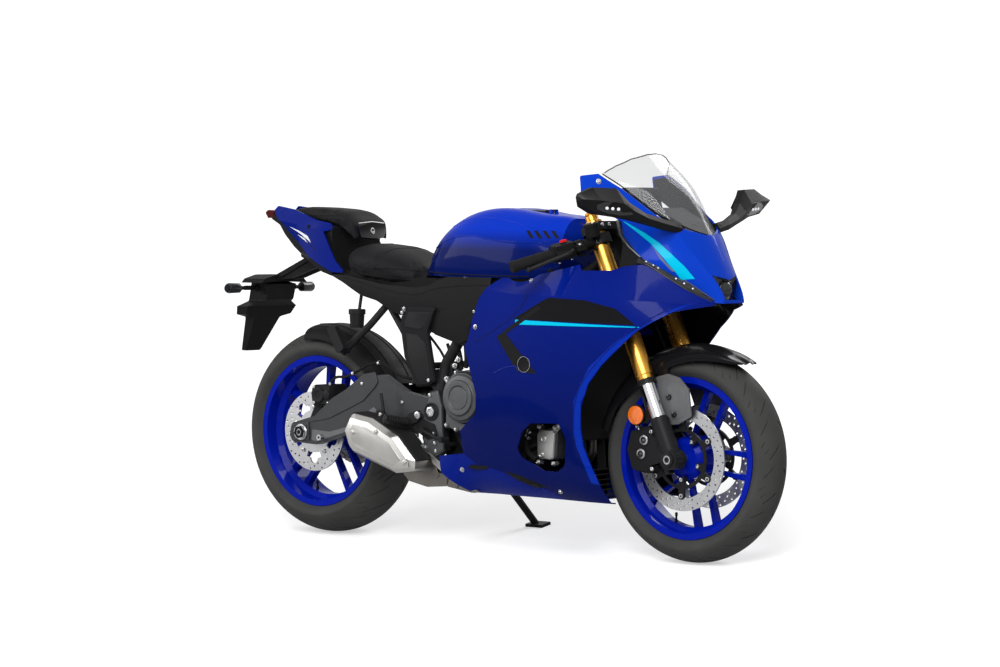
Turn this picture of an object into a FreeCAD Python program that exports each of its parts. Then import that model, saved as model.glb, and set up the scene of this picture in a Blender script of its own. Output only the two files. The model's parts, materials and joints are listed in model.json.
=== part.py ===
import FreeCAD, Part
import math
import os

# Full-size sport bike with twin front discs, upside-down fork, full fairing and side stand.
# The bike is drawn upright: x forward, y to its left, z up, origin on the ground under the
# rear axle. At the end it is rolled to its left onto the side stand, as it parks.

# Chassis, in millimetres and degrees
WHEELBASE = 1395.0
MEASURED_WHEELBASE = 1395.0  # the wheelbase at which the outlines below were measured
MIDDLE = (640.0, 1060.0)     # stretch between engine and steering that takes up another wheelbase
RAKE = 23.7                  # steering axis from the vertical
FORK_OFFSET = 37.35          # fork legs ahead of the steering axis
LEAN = 10.0                  # roll to the left on the side stand
GAP = 0.3                    # seat between two pieces that touch

# Front wheel
FRONT_AXLE_Z = 298.0
FRONT_TYRE_R = 300.0
FRONT_TYRE_W = 120.0
FRONT_RIM_W = 101.0
FRONT_DISC_R = 149.0
FRONT_DISC_Y = 66.0
FRONT_AXLE_R = 12.5
FRONT_AXLE_BORE_R = 8.5

# Rear wheel
REAR_AXLE_Z = 312.0
REAR_TYRE_R = 315.0
REAR_TYRE_W = 180.0
REAR_RIM_W = 152.0
REAR_DISC_R = 122.5
REAR_DISC_Y = -90.0
REAR_AXLE_R = 12.5
REAR_AXLE_BORE_R = 7.0

# Rims
FLANGE_R = 232.0
BEAD_R = 218.3
RIM_WALL = 5.0
SPOKE_PAIRS = 5

# Fork
LEG_Y = 110.0
STEM_R = 15.0
STANCHION_R = 20.5
OUTER_TUBE_R = 27.0
LOWER_TOP = 120.0            # distances along the leg, up from the axle
OUTER_START = 235.0
LOWER_CLAMP = 535.0
UPPER_CLAMP = 705.0
CAP_TOP = 750.0
STAY_IN = 78.0               # inner face of the fender stays

# Bars
GRIP_END = (1000.0, 345.0, 838.0)
BAR_R = 11.0
GRIP_R = 16.5

# Chain and sprockets
CHAIN_Y = 105.0
SPROCKET_R = 104.0
DRIVE_SPROCKET_R = 40.0
DRIVE_SPROCKET = (622.0, 400.0)

# Swingarm
PIVOT = (548.0, 399.0)
ARM_IN = 118.0
ARM_OUT = 146.0
STAND_HOLE_R = 4.0           # threads for paddock-stand spools, in bosses on the arms
STAND_BOSS_R = 9.0
STAND_BOSS_LENGTH = 20.0
STAND_HOLE = (86.4, 299.7)

# Seat
SEAT_REST = 788.0            # underside of the rider's seat over its rests

# Engine
ENGINE_HALF = 132.0
BAY_WALL = 91.0              # inner wall of the drive sprocket's bay
PUMP_SEAT = 128.0            # right-hand face that carries the water pump

# Fairing
BRACKET_Y = 160.0            # outer face of the radiator's ears, which carry the fairing

LAMP_OPENING = [(-56, 819), (0, 806), (56, 819), (40, 750), (-40, 750)]

# Exhaust
CAN_IN = -150.0              # inner face of the silencer

# Side stand
STAND_PIVOT = (552.0, 128.0, 205.0)
STAND_FOOT = (620.0, 240.0)
STAND_AXIS = (-0.064, 1.0, 0.5)
STAND_R = 11.0
STAND_FOLD = 94.0

# Steering and filler lid travel
STEERING_LOCK = 27.0
CAP_HINGE = (868.0, 0.0, 998.0)
CAP_OPEN = 100.0

# Tank
TANK_BASE = 800.0
CAP_CENTRE = (816.0, 0.0, 900.0)
CAP_R = 38.0


def at(x, y, z):
    """A point of the bike; ahead of the middle stretch it keeps its distance from the front axle."""
    share = min(max((x - MIDDLE[0]) / (MIDDLE[1] - MIDDLE[0]), 0.0), 1.0)
    return FreeCAD.Vector(x + (WHEELBASE - MEASURED_WHEELBASE) * share, y, z)


def flat(u, v):
    return FreeCAD.Vector(u, v, 0)


def unit(vector):
    return vector * (1.0 / vector.Length)


def corner_wire(points, place):
    """Closed wire through (u, v) or (u, v, radius) corners, with arcs at the radii."""
    edges = []
    ends = []
    count = len(points)
    for i in range(count):
        here = flat(points[i][0], points[i][1])
        radius = points[i][2] if len(points[i]) > 2 else 0.0
        if not radius:
            ends.append((here, None, here))
            continue
        before = flat(points[i - 1][0], points[i - 1][1])
        after = flat(points[(i + 1) % count][0], points[(i + 1) % count][1])
        back = unit(before - here)
        ahead = unit(after - here)
        half = back.getAngle(ahead) / 2
        cut = radius / math.tan(half)
        inward = unit(back + ahead)
        mid = here + inward * (radius / math.sin(half) - radius)
        ends.append((here + back * cut, mid, here + ahead * cut))
    for i in range(count):
        start, mid, end = ends[i]
        if mid is not None:
            edges.append(Part.Arc(place(start.x, start.y), place(mid.x, mid.y), place(end.x, end.y)).toShape())
        following = ends[(i + 1) % count][0]
        if (following - end).Length > 1e-6:
            edges.append(Part.LineSegment(place(end.x, end.y), place(following.x, following.y)).toShape())
    return Part.Wire(edges)


def plate(points, y0, y1):
    """Side-view outline (x, z) given a width from y0 to y1."""
    wire = corner_wire(points, lambda u, v: at(u, y0, v))
    return Part.Face(wire).extrude(at(0, y1 - y0, 0))


def plate_at(centre, points, y0, y1):
    """Side-view outline (u, v) about a centre, given a width from y0 to y1."""
    wire = corner_wire(points, lambda u, v: centre + FreeCAD.Vector(u, y0, v))
    return Part.Face(wire).extrude(at(0, y1 - y0, 0))


def front_plate(points, x0, x1):
    """Front-view outline (y, z) given a length from x0 to x1."""
    wire = corner_wire(points, lambda u, v: at(x0, u, v))
    return Part.Face(wire).extrude(at(x1, 0, 0) - at(x0, 0, 0))


def turned(points, centre, axis):
    """Closed profile (along, radius) turned about an axis through centre."""
    axis = unit(axis)
    side = unit(axis.cross(at(0.31, 0.17, 0.93)))
    wire = corner_wire(points, lambda u, v: centre + axis * u + side * v)
    return Part.Face(wire).revolve(centre, axis, 360)


def disc(centre, axis, radius, start, end, bore=0.0):
    return turned([(start, bore), (start, radius), (end, radius), (end, bore)], centre, axis)


def rod(start, end, radius):
    return Part.makeCylinder(radius, (end - start).Length, start, end - start)


def fused(shapes):
    first = shapes[0]
    return first.fuse(shapes[1:]).removeSplitter() if len(shapes) > 1 else first


def largest(shape):
    """The biggest solid that a cut leaves."""
    return max(shape.Solids, key=lambda solid: solid.Volume)


def bevelled(points, y0, y1, width, share):
    """Plate whose outer face, at y1, is drawn in towards its middle by a share of its size."""
    step = width if y1 > y0 else -width
    mid_u = sum(p[0] for p in points) / len(points)
    mid_v = sum(p[1] for p in points) / len(points)
    small = [(mid_u + (p[0] - mid_u) * share, mid_v + (p[1] - mid_v) * share) + tuple(p[2:]) for p in points]
    wide = corner_wire(points, lambda u, v: at(u, y1 - step, v))
    narrow = corner_wire(small, lambda u, v: at(u, y1, v))
    return fused([plate(points, y0, y1 - step), Part.makeLoft([wide, narrow], True, True)])


def mirrored(shape):
    return shape.mirror(at(0, 0, 0), at(0, 1, 0))


def both(shape):
    """The piece and its mirror image on the other side, as two solids."""
    return Part.makeCompound([shape, mirrored(shape)])


def bent_tube(points, radius, bend):
    """Round tube along straight runs joined by tangent arcs."""
    edges = []
    last = points[0]
    for i in range(1, len(points) - 1):
        here = points[i]
        back = unit(points[i - 1] - here)
        ahead = unit(points[i + 1] - here)
        half = back.getAngle(ahead) / 2
        cut = bend / math.tan(half)
        mid = here + unit(back + ahead) * (bend / math.sin(half) - bend)
        start = here + back * cut
        end = here + ahead * cut
        edges.append(Part.LineSegment(last, start).toShape())
        edges.append(Part.Arc(start, mid, end).toShape())
        last = end
    edges.append(Part.LineSegment(last, points[-1]).toShape())
    path = Part.Wire(edges)
    ring = Part.Wire([Part.Circle(points[0], points[1] - points[0], radius).toShape()])
    return path.makePipeShell([ring], True, False)


def curve(points):
    if len(points) == 2:
        return Part.LineSegment(points[0], points[1]).toShape()
    line = Part.BSplineCurve()
    line.interpolate(points)
    return line.toShape()


def curves(points, creases):
    """Smooth curves between the creases, which are positions in the list of points."""
    stops = [0] + list(creases) + [len(points) - 1]
    return [curve(points[stops[i]:stops[i + 1] + 1]) for i in range(len(stops) - 1)]


def offset(points, wall):
    """An open line of (u, v) points moved sideways, to its left, by the wall."""
    moved = []
    for i in range(len(points)):
        u0, v0 = points[max(i - 1, 0)]
        u1, v1 = points[min(i + 1, len(points) - 1)]
        length = math.hypot(u1 - u0, v1 - v0)
        u, v = points[i]
        moved.append((u - wall * (v1 - v0) / length, v + wall * (u1 - u0) / length))
    return moved


def panel(sections, creases, wall):
    """Moulded panel of even wall through sections (place, outer points)."""
    wires = []
    for place, points in sections:
        outer = [place(u, v) for u, v in points]
        inner = [place(u, v) for u, v in offset(points, wall)]
        edges = curves(outer, creases)
        edges.append(Part.LineSegment(outer[-1], inner[-1]).toShape())
        edges += curves(inner[::-1], [len(points) - 1 - c for c in reversed(creases)])
        edges.append(Part.LineSegment(inner[0], outer[0]).toShape())
        wires.append(Part.Wire(edges))
    return Part.makeLoft(wires, True, False)


def body_loft(sections, creases, ruled=False):
    """Solid through cross sections (x, half outline (y, z) from the top centre to the bottom)."""
    wires = []
    for x, half in sections:
        right = [at(x, -y, z) for y, z in half]
        left = [at(x, y, z) for y, z in half]
        top = right[creases[0]:0:-1] + left[:creases[0] + 1]
        edges = [curve(top)]
        edges += curves(left, creases)[1:]
        edges.append(Part.LineSegment(left[-1], right[-1]).toShape())
        edges += curves(right[::-1], [len(half) - 1 - c for c in reversed(creases)])[:-1]
        wires.append(Part.Wire(edges))
    return Part.makeLoft(wires, True, ruled)


# Derived frames
rake = math.radians(RAKE)
UP_FORK = at(-math.sin(rake), 0, math.cos(rake))
AHEAD_FORK = at(math.cos(rake), 0, math.sin(rake))
FRONT_AXLE = at(MEASURED_WHEELBASE, 0, FRONT_AXLE_Z)
REAR_AXLE = at(0, 0, REAR_AXLE_Z)
ACROSS = at(0, 1, 0)


def on_leg(along, side=0.0, ahead=0.0):
    """A point along the fork leg, up from the axle, with sideways and forward offsets."""
    return FRONT_AXLE + UP_FORK * along + ACROSS * side + AHEAD_FORK * ahead


def tyre_outline(radius, width, rim_width, centre):
    """Tyre of flat strips turned about its axle, with a corner where it touches the floor when it leans."""
    half = width / 2
    seat = rim_width / 2 - 4.0
    shoulder = radius - 0.5 * half * 1.12
    widest = (shoulder + FLANGE_R) / 2 + 2.0

    crown = crown_radius(radius, width)
    tread = [(crown * math.sin(math.radians(turn)), radius - crown * (1 - math.cos(math.radians(turn))))
             for turn in (0.0, LEAN, LEAN + 16.0, LEAN + 32.0)]
    right = tread + [(half - 1.5, shoulder), (half - 0.2, widest), (seat, FLANGE_R), (seat, BEAD_R)]
    return turned(right + [(-y, r) for y, r in right[:0:-1]], centre, ACROSS)


def rim(centre, width, hub_r, hub_half, spoke_depth, first):
    """Cast rim: barrel with drop centre and flanges, hub, and five pairs of slim spokes from an angle on."""
    half = width / 2
    well = BEAD_R - 15.0
    outer = [(-half, FLANGE_R), (-half + 4, FLANGE_R), (-half + 4, BEAD_R), (-0.42 * half, BEAD_R),
             (-0.25 * half, well), (0.25 * half, well), (0.42 * half, BEAD_R), (half - 4, BEAD_R),
             (half - 4, FLANGE_R), (half, FLANGE_R)]
    inner = [(half, BEAD_R - 4), (0.48 * half, BEAD_R - RIM_WALL), (0.3 * half, well - RIM_WALL),
             (-0.3 * half, well - RIM_WALL), (-0.48 * half, BEAD_R - RIM_WALL), (-half, BEAD_R - 4)]
    barrel = turned(outer + inner, centre, ACROSS)
    hub = turned([(-hub_half, FRONT_AXLE_R + GAP), (-hub_half, hub_r - 18), (-hub_half + 14, hub_r),
                  (hub_half - 14, hub_r), (hub_half, hub_r - 18), (hub_half, FRONT_AXLE_R + GAP)],
                 centre, ACROSS)
    reach = well - RIM_WALL + 2.5
    spoke_outline = [(26, -hub_r + 30), (32, -hub_r + 30), (42, -reach), (24, -reach)]
    spoke_half = spoke_depth / 2
    spokes = []
    for sign in (1, -1):
        points = [(sign * u, v) for u, v in spoke_outline]
        spokes.append(plate(points, -spoke_half, spoke_half))
    pieces = [barrel, hub]
    for k in range(SPOKE_PAIRS):
        for spoke in spokes:
            turned_spoke = spoke.copy()
            turned_spoke.translate(centre)
            turned_spoke.rotate(centre, ACROSS, first + k * 360.0 / SPOKE_PAIRS)
            pieces.append(turned_spoke)
    return fused(pieces)


def brake_disc(centre, y, radius, width, thickness):
    """Steel ring of a floating brake disc, and its centre."""
    here = centre + at(0, y, 0)
    half = thickness / 2
    ring = disc(here, ACROSS, radius, -half, half, radius - width)
    return ring, here


def carrier(here, hub_r, ring_r, arms, depth, first):
    half = depth / 2
    collar = disc(here, ACROSS, hub_r, -half, half, hub_r - 12)
    pieces = [collar]
    for k in range(arms):
        arm = plate([(-7, hub_r - 4), (7, hub_r - 4), (6, ring_r), (-6, ring_r)], -half, half)
        arm.translate(here)
        arm.rotate(here, ACROSS, first + k * 360.0 / arms)
        pieces.append(arm)
    return fused(pieces)


def front_wheel_parts():
    parts = {}
    parts["front_tyre"] = tyre_outline(FRONT_TYRE_R, FRONT_TYRE_W, FRONT_RIM_W, FRONT_AXLE)
    parts["front_rim"] = rim(FRONT_AXLE, FRONT_RIM_W, 62.0, 58.0, 22.0, -13.0)
    ring_width = 37.0
    discs = []
    for sign in (1, -1):
        ring, here = brake_disc(FRONT_AXLE, sign * FRONT_DISC_Y, FRONT_DISC_R, ring_width, 4.5)
        spider = carrier(here, 82.0, FRONT_DISC_R - ring_width + 2, 10, 6.0, 18.0)
        inner = disc(FRONT_AXLE, ACROSS, 48.0, 58.0, FRONT_DISC_Y + 3.0, 38.0)
        if sign < 0:
            inner = mirrored(inner)
        web = disc(here, ACROSS, 72.0, -3.0, 3.0, 46.0)
        discs.append(fused([ring, spider, web, inner]))
    parts["front_discs"] = Part.makeCompound(discs)
    return parts


def rear_wheel_parts():
    parts = {}
    parts["rear_tyre"] = tyre_outline(REAR_TYRE_R, REAR_TYRE_W, REAR_RIM_W, REAR_AXLE)
    parts["rear_rim"] = rim(REAR_AXLE, REAR_RIM_W, 66.0, 78.0, 26.0, -30.0)
    ring, here = brake_disc(REAR_AXLE, REAR_DISC_Y, REAR_DISC_R, 32.0, 5.0)
    spider = carrier(here, 66.0, REAR_DISC_R - 30.0, 10, 5.0, 26.1)
    boss = disc(REAR_AXLE, ACROSS, 58.0, REAR_DISC_Y - 2.5, -78.0, 40.0)
    parts["rear_disc"] = fused([ring, spider, boss])
    sprocket = disc(REAR_AXLE, ACROSS, SPROCKET_R, CHAIN_Y - 3.5, CHAIN_Y + 3.5, 80.0)
    dish = disc(REAR_AXLE, ACROSS, 84.0, CHAIN_Y - 3.5, CHAIN_Y + 3.5, 40.0)
    seat = disc(REAR_AXLE, ACROSS, 60.0, 78.0, CHAIN_Y + 3.5, 36.0)
    parts["rear_sprocket"] = fused([sprocket, dish, seat])
    return parts


def fork_parts():
    parts = {}
    lower = rod(on_leg(-18, LEG_Y), on_leg(LOWER_TOP, LEG_Y), 27.0)
    clamp = disc(FRONT_AXLE, ACROSS, 29.0, 84.0, LEG_Y + 24.0, FRONT_AXLE_R + GAP)
    foot = lower.fuse(clamp).cut(disc(FRONT_AXLE, ACROSS, FRONT_AXLE_R + GAP, 70.0, 150.0))
    parts["fork_bottoms"] = both(foot.removeSplitter())
    parts["fork_stanchions"] = both(rod(on_leg(LOWER_TOP, LEG_Y), on_leg(OUTER_START, LEG_Y), STANCHION_R))
    tube = turned([(OUTER_START, 0), (OUTER_START, 25), (OUTER_START + 18, 25), (OUTER_START + 22, OUTER_TUBE_R),
                   (LOWER_CLAMP + 30, OUTER_TUBE_R), (LOWER_CLAMP + 60, 25.5), (CAP_TOP - 22, 25.5),
                   (CAP_TOP - 18, 19), (CAP_TOP - 4, 19), (CAP_TOP - 2, 8), (CAP_TOP + 14, 8), (CAP_TOP + 14, 0)],
                  on_leg(0, LEG_Y), UP_FORK)
    parts["fork_tubes"] = both(tube)
    hole = disc(on_leg(0, LEG_Y), UP_FORK, OUTER_TUBE_R, LOWER_CLAMP - 60, LOWER_CLAMP + 60)
    hole_top = disc(on_leg(0, LEG_Y), UP_FORK, 25.5, UPPER_CLAMP - 60, UPPER_CLAMP + 40)

    def yoke(along, thick, hole_shape):
        outline_points = [(-FORK_OFFSET - 28, -40, 20), (-30, -LEG_Y - 38, 28), (38, -LEG_Y - 38, 30),
                          (38, LEG_Y + 38, 30), (-30, LEG_Y + 38, 28), (-FORK_OFFSET - 28, 40, 20)]
        wire = corner_wire(outline_points, lambda u, v: on_leg(along, v, u))
        body = Part.Face(wire).extrude(UP_FORK * thick)
        return body.cut(hole_shape).cut(mirrored(hole_shape))
    lower_yoke = yoke(LOWER_CLAMP - 16, 32, hole)
    upper_yoke = yoke(UPPER_CLAMP - 12, 24, hole_top)
    stem = rod(on_leg(LOWER_CLAMP - 10, 0, -FORK_OFFSET), on_leg(UPPER_CLAMP + 18, 0, -FORK_OFFSET), STEM_R)
    parts["triple_clamps"] = fused([lower_yoke, stem, upper_yoke])
    axle = disc(FRONT_AXLE, ACROSS, FRONT_AXLE_R, -LEG_Y - 30, LEG_Y + 30, FRONT_AXLE_BORE_R)
    parts["front_axle"] = axle
    parts["front_calipers"] = both(front_caliper())
    return parts


def front_caliper():
    """Radial four-piston caliper behind each fork bottom, around the disc."""
    body = plate([(1236, 372, 8), (1300, 378, 8), (1324, 345), (1318, 285), (1292, 256, 8), (1240, 262, 8),
                  (1222, 316, 20)], FRONT_DISC_Y - 24, FRONT_DISC_Y + 30)
    slot = disc(FRONT_AXLE, ACROSS, FRONT_DISC_R + 3, FRONT_DISC_Y - 7, FRONT_DISC_Y + 7)
    bracket = plate([(1316, 355), (1372, 375, 6), (1384, 300, 6), (1310, 276)], LEG_Y - 22, LEG_Y - 8)
    leg = rod(on_leg(-40, LEG_Y), on_leg(LOWER_TOP + 20, LEG_Y), 27.0 + GAP)
    end = disc(FRONT_AXLE, ACROSS, 29.0 + GAP, 70.0, 140.0)
    return fused([body.cut(slot), bracket]).cut(leg).cut(end)


def bars_parts():
    parts = {}
    start = on_leg(UPPER_CLAMP - 34, LEG_Y)
    end = at(*GRIP_END)
    direction = unit(end - start)
    bar = rod(start + direction * 30, end - direction * 4, BAR_R)
    ring = disc(on_leg(0, LEG_Y), UP_FORK, 36.0, UPPER_CLAMP - 50, UPPER_CLAMP - 20, 25.5)
    neck = rod(start + direction * 26, start + direction * 52, 17.0)
    hole = disc(on_leg(0, LEG_Y), UP_FORK, 25.5, UPPER_CLAMP - 60, UPPER_CLAMP - 10)
    clip_on = [bar, neck.cut(hole), ring]
    grip_start = end - direction * 128
    grip = turned([(0, BAR_R), (0, 20), (6, 20), (6, GRIP_R), (118, GRIP_R), (118, 17.5), (134, 17.5, 3),
                   (134, 0), (124, 0), (124, BAR_R)], grip_start, direction)
    parts["grips"] = both(grip)
    box_start = grip_start - direction * 62
    switch = rod(box_start, grip_start - direction * GAP, 24.0)
    lever_root = box_start + direction * 14 + at(18, 9, 0)
    lever = bent_tube([lever_root, box_start + at(48, 26, 0), end + at(34, -28, -8)], 6.0, 20.0)
    ball = Part.makeSphere(8.5, end + at(34, -28, -8))
    parts["handlebars"] = both(fused(clip_on + [switch, lever, ball]))
    return parts


def front_fender_parts():
    parts = {}
    sections = []
    for degrees, top, half, drop in ((-34, 336, 34, 8), (-24, 333, 60, 30), (-8, 328, 74, 47), (19, 322, STAY_IN - GAP, 70),
                                     (45, 320, STAY_IN - GAP, 68), (76, 320, 72, 50)):
        turn = math.radians(degrees)
        out = at(-math.sin(turn), 0, math.cos(turn))

        def place(u, v, out=out):
            return FRONT_AXLE + out * v + ACROSS * u
        points = [(half, top - drop), (half * 0.93, top - drop * 0.42), (half * 0.55, top - 7), (0, top),
                  (-half * 0.55, top - 7), (-half * 0.93, top - drop * 0.42), (-half, top - drop)]
        sections.append((place, points))
    tab = plate([(1314, 556), (1350, 562), (1352, 510, 6), (1318, 506, 6)], STAY_IN - 6, STAY_IN - GAP)
    parts["front_fender"] = fused([panel(sections, [], 3.0), tab, mirrored(tab)])
    stay = plate([(1309, 526, 8), (1355, 538, 10), (1396, 528, 14), (1428, 496, 14), (1438, 420, 8), (1392, 396, 8),
                  (1340, 392, 8)], STAY_IN, LEG_Y - 27.0 - GAP)
    parts["fender_stays"] = both(stay)
    return parts


def swingarm():
    """Two arms of bent outline, joined by a cross member and the pivot tube."""
    arm_points = [(-52, 300, 12), (-44, 338, 14), (60, 366, 40), (180, 430, 60), (262, 492, 30), (330, 500, 30),
                  (420, 452, 40), (575, 424, 20), (580, 376, 18), (430, 372, 40), (300, 352, 60), (198, 318, 60),
                  (60, 276, 30), (-40, 280, 12)]
    arm = plate(arm_points, ARM_IN, ARM_OUT)
    cross = plate([(345, 398, 12), (410, 412, 12), (440, 412, 10), (440, 366, 10), (360, 360, 12)], -ARM_IN, ARM_IN)
    tube = rod(at(PIVOT[0], -ARM_OUT, PIVOT[1]), at(PIVOT[0], ARM_OUT, PIVOT[1]), 26.0)
    axle_hole = disc(REAR_AXLE, ACROSS, REAR_AXLE_R + GAP, -200, 200)
    pivot_hole = rod(at(PIVOT[0], -200, PIVOT[1]), at(PIVOT[0], 200, PIVOT[1]), 11.0)
    return fused([arm, mirrored(arm), cross, tube]).cut(axle_hole).cut(pivot_hole)


def rear_end_parts():
    parts = {}
    parts["swingarm"] = swingarm()
    axle = disc(REAR_AXLE, ACROSS, REAR_AXLE_R, -ARM_OUT - 16, ARM_OUT + 16, REAR_AXLE_BORE_R)
    nuts = disc(REAR_AXLE, ACROSS, 22.0, ARM_OUT + GAP, ARM_OUT + 14, REAR_AXLE_R)
    parts["rear_axle"] = fused([axle, nuts, mirrored(nuts)])
    thread = disc(at(STAND_HOLE[0], 0, STAND_HOLE[1]), ACROSS, STAND_BOSS_R, ARM_OUT + GAP,
                  ARM_OUT + STAND_BOSS_LENGTH, STAND_HOLE_R)
    parts["spool_bosses"] = both(thread)
    caliper = plate([(28, 392, 6), (32, 458, 10), (112, 462, 10), (118, 396, 8)], -128.0, REAR_DISC_Y + 24)
    slot = disc(REAR_AXLE, ACROSS, REAR_DISC_R + 5, REAR_DISC_Y - 6, REAR_DISC_Y + 6)
    bracket = plate([(-24, 286, 10), (24, 286, 10), (60, 404), (30, 404)], -ARM_IN + GAP, -104.0)
    bracket = bracket.cut(disc(REAR_AXLE, ACROSS, REAR_AXLE_R + GAP, -130, -90))
    parts["rear_caliper"] = fused([caliper.cut(slot), bracket])
    parts["chain"] = chain()
    low = REAR_TYRE_R + 117.0    # chain guard, which meets the hugger's edge above the tyre
    guard = plate([(40, low), (60, low + 14, 6), (420, low + 38, 8), (430, low + 30)], CHAIN_Y - 12, ARM_IN - GAP)
    hugger_sections = []
    for degrees, half in ((-62, 98), (-40, 98), (-15, 98), (8, 96)):
        turn = math.radians(degrees)
        out = at(-math.sin(turn), 0, math.cos(turn))

        def place(u, v, out=out):
            return REAR_AXLE + out * v + ACROSS * u
        top = REAR_TYRE_R + 16
        points = [(half, top - 48), (half * 0.92, top - 26), (half * 0.55, top - 7), (0, top),
                  (-half * 0.55, top - 7), (-half * 0.92, top - 26), (-half, top - 48)]
        hugger_sections.append((place, points))
    hugger = panel(hugger_sections, [], 3.0)
    parts["rear_hugger"] = fused([hugger, guard])
    spring = rod(at(472, 0, 318), at(484, 0, 521), 28.0)
    link = plate([(430, 400), (474, 400), (474, 372), (430, 372)], -10, 10)
    parts["rear_shock"] = fused([spring, link]).cut(parts["swingarm"])
    return parts


def chain():
    """Two side-plate loops round both sprockets, joined by rollers on the straight runs."""
    def loop(radius_rear, radius_front):
        front = at(DRIVE_SPROCKET[0], 0, DRIVE_SPROCKET[1])
        gap = front - REAR_AXLE
        lift = math.asin((radius_rear - radius_front) / gap.Length)
        lean = math.atan2(gap.z, gap.x)
        edges = []
        up = at(math.cos(math.pi / 2 + lean - lift), 0, math.sin(math.pi / 2 + lean - lift))
        down = at(math.cos(lean - math.pi / 2 + lift), 0, math.sin(lean - math.pi / 2 + lift))
        back = unit(gap) * -1
        edges.append(Part.LineSegment(REAR_AXLE + up * radius_rear, front + up * radius_front).toShape())
        edges.append(Part.Arc(front + up * radius_front, front - back * radius_front,
                              front + down * radius_front).toShape())
        edges.append(Part.LineSegment(front + down * radius_front, REAR_AXLE + down * radius_rear).toShape())
        edges.append(Part.Arc(REAR_AXLE + down * radius_rear, REAR_AXLE + back * radius_rear,
                              REAR_AXLE + up * radius_rear).toShape())
        return Part.Face(Part.Wire(edges))
    outer = loop(SPROCKET_R + 7, DRIVE_SPROCKET_R + 7)
    inner = loop(SPROCKET_R - 8, DRIVE_SPROCKET_R - 8)
    band = outer.cut(inner)
    plates = []
    for y in (CHAIN_Y - 9, CHAIN_Y + 5):
        side = band.copy()
        side.translate(at(0, y, 0))
        plates.append(side.extrude(at(0, 4, 0)))
    rungs = []
    front = at(DRIVE_SPROCKET[0], 0, DRIVE_SPROCKET[1])
    for share in (0.35, 0.65):
        for sign, rear_r, front_r in ((1, SPROCKET_R, DRIVE_SPROCKET_R), (-1, SPROCKET_R, DRIVE_SPROCKET_R)):
            low = REAR_AXLE + at(0, 0, sign * rear_r)
            high = front + at(0, 0, sign * front_r)
            here = low + (high - low) * share
            rungs.append(rod(here + at(0, CHAIN_Y - 7, 0), here + at(0, CHAIN_Y + 7, 0), 4.0))
    wheel = disc(front, ACROSS, DRIVE_SPROCKET_R - 6.0, CHAIN_Y - 9, CHAIN_Y + 9)
    shaft = disc(front, ACROSS, 15.0, BAY_WALL + GAP, CHAIN_Y)
    return fused(plates + rungs + [wheel, shaft])


def engine_parts():
    parts = {}
    case = plate([(604, 330, 20), (604, 470, 30), (700, 520, 20), (860, 505, 20), (925, 420, 30), (940, 310, 40),
                  (900, 232, 30), (700, 214, 30)], -ENGINE_HALF, ENGINE_HALF)
    barrel = plate([(720, 470), (690, 640, 20), (800, 690, 20), (925, 600, 20), (915, 480)], -98, 98)
    bay = plate([(590, 330), (590, 470), (686, 470), (686, 330)], BAY_WALL, ENGINE_HALF + 1)
    pump_seat = plate([(900, 280), (900, 372), (1018, 372, 14), (1018, 280, 14)], -PUMP_SEAT, -60)
    parts["engine_block"] = fused([case, barrel, pump_seat]).cut(bay)
    face = ENGINE_HALF + GAP
    cover = turned([(170, 0), (170, 74), (186, 72), (198, 66, 6), (200, 54, 3), (207, 50, 3), (207, 37, 2),
                    (203, 35, 2), (203, 0)], at(678, 0, 446), ACROSS * -1)
    skirt = plate([(604, 488, 14), (640, 520, 20), (700, 530, 20), (762, 500, 20), (778, 440, 20), (762, 380, 20),
                   (699, 350, 20), (644, 348, 16), (606, 360, 14)], -174, -face)
    cover = fused([cover, skirt])
    left = turned([(face, 0), (face, 84), (166, 80, 6), (178, 60, 6), (178, 0)], at(790, 0, 400), ACROSS)
    sprocket_cover = plate([(606, 484, 10), (700, 484, 10), (700, 320, 10), (606, 318, 10)], face, ENGINE_HALF + 14)
    pump = bevelled([(945, 282, 12), (948, 366, 12), (1014, 370, 16), (1006, 276, 16)],
                    -PUMP_SEAT - GAP, -PUMP_SEAT - 34, 10, 0.85)
    spout = rod(at(1004, -PUMP_SEAT - 22, 362), at(1022, -PUMP_SEAT - 22, 382), 7.0)
    pump = fused([pump, spout])
    parts["engine_covers"] = Part.makeCompound([cover, left, sprocket_cover, pump])
    core = plate([(1033, 330, 6), (1003, 640, 6), (1038, 646, 6), (1072, 336, 6)], -140, 140)
    stays = [rod(at(900, y, 580), at(1015, y, 590), 7.0) for y in (-80, 80)]
    wing = plate([(1030, 620, 6), (1030, 660, 6), (1062, 660, 6), (1062, 620, 6)], 132, BRACKET_Y)
    duct = []
    for step in range(6):
        z = 168 + 15 * step
        duct.append(plate([(1040, z), (1088, z + 5), (1088, z + 9), (1040, z + 4)], -88, 88))
    for y in (-88, -2, 84):
        duct.append(plate([(1044, 168), (1078, 172), (1062, 332), (1036, 332)], y, y + 4))
    parts["radiator"] = fused([core, wing, mirrored(wing)] + stays + duct).cut(parts["engine_block"])
    return parts


def exhaust_parts(engine):
    parts = {}
    outline_points = [(262, 340, 14), (290, 386, 16), (370, 374, 10), (470, 326, 14), (540, 256, 12), (538, 226, 12),
                      (466, 216, 16), (300, 268, 20), (268, 310, 12)]
    parts["silencer"] = bevelled(outline_points, CAN_IN, -252, 16, 0.8)
    link = plate([(409, 215, 10), (440, 186, 12), (512, 172, 12), (612, 180, 6), (654, 188), (650, 205),
                  (600, 222), (560, 240), (500, 258, 10)], CAN_IN + GAP, 60)
    pipes = [link]
    for y in (-42, 42):
        pipes.append(bent_tube([at(640, y * 0.6, 191), at(900, y * 0.6, 191), at(984, y, 290), at(984, y, 480),
                                at(912, y, 545)], 18.0, 50.0))
    parts["exhaust_pipes"] = fused(pipes).cut(engine)
    return parts


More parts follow.
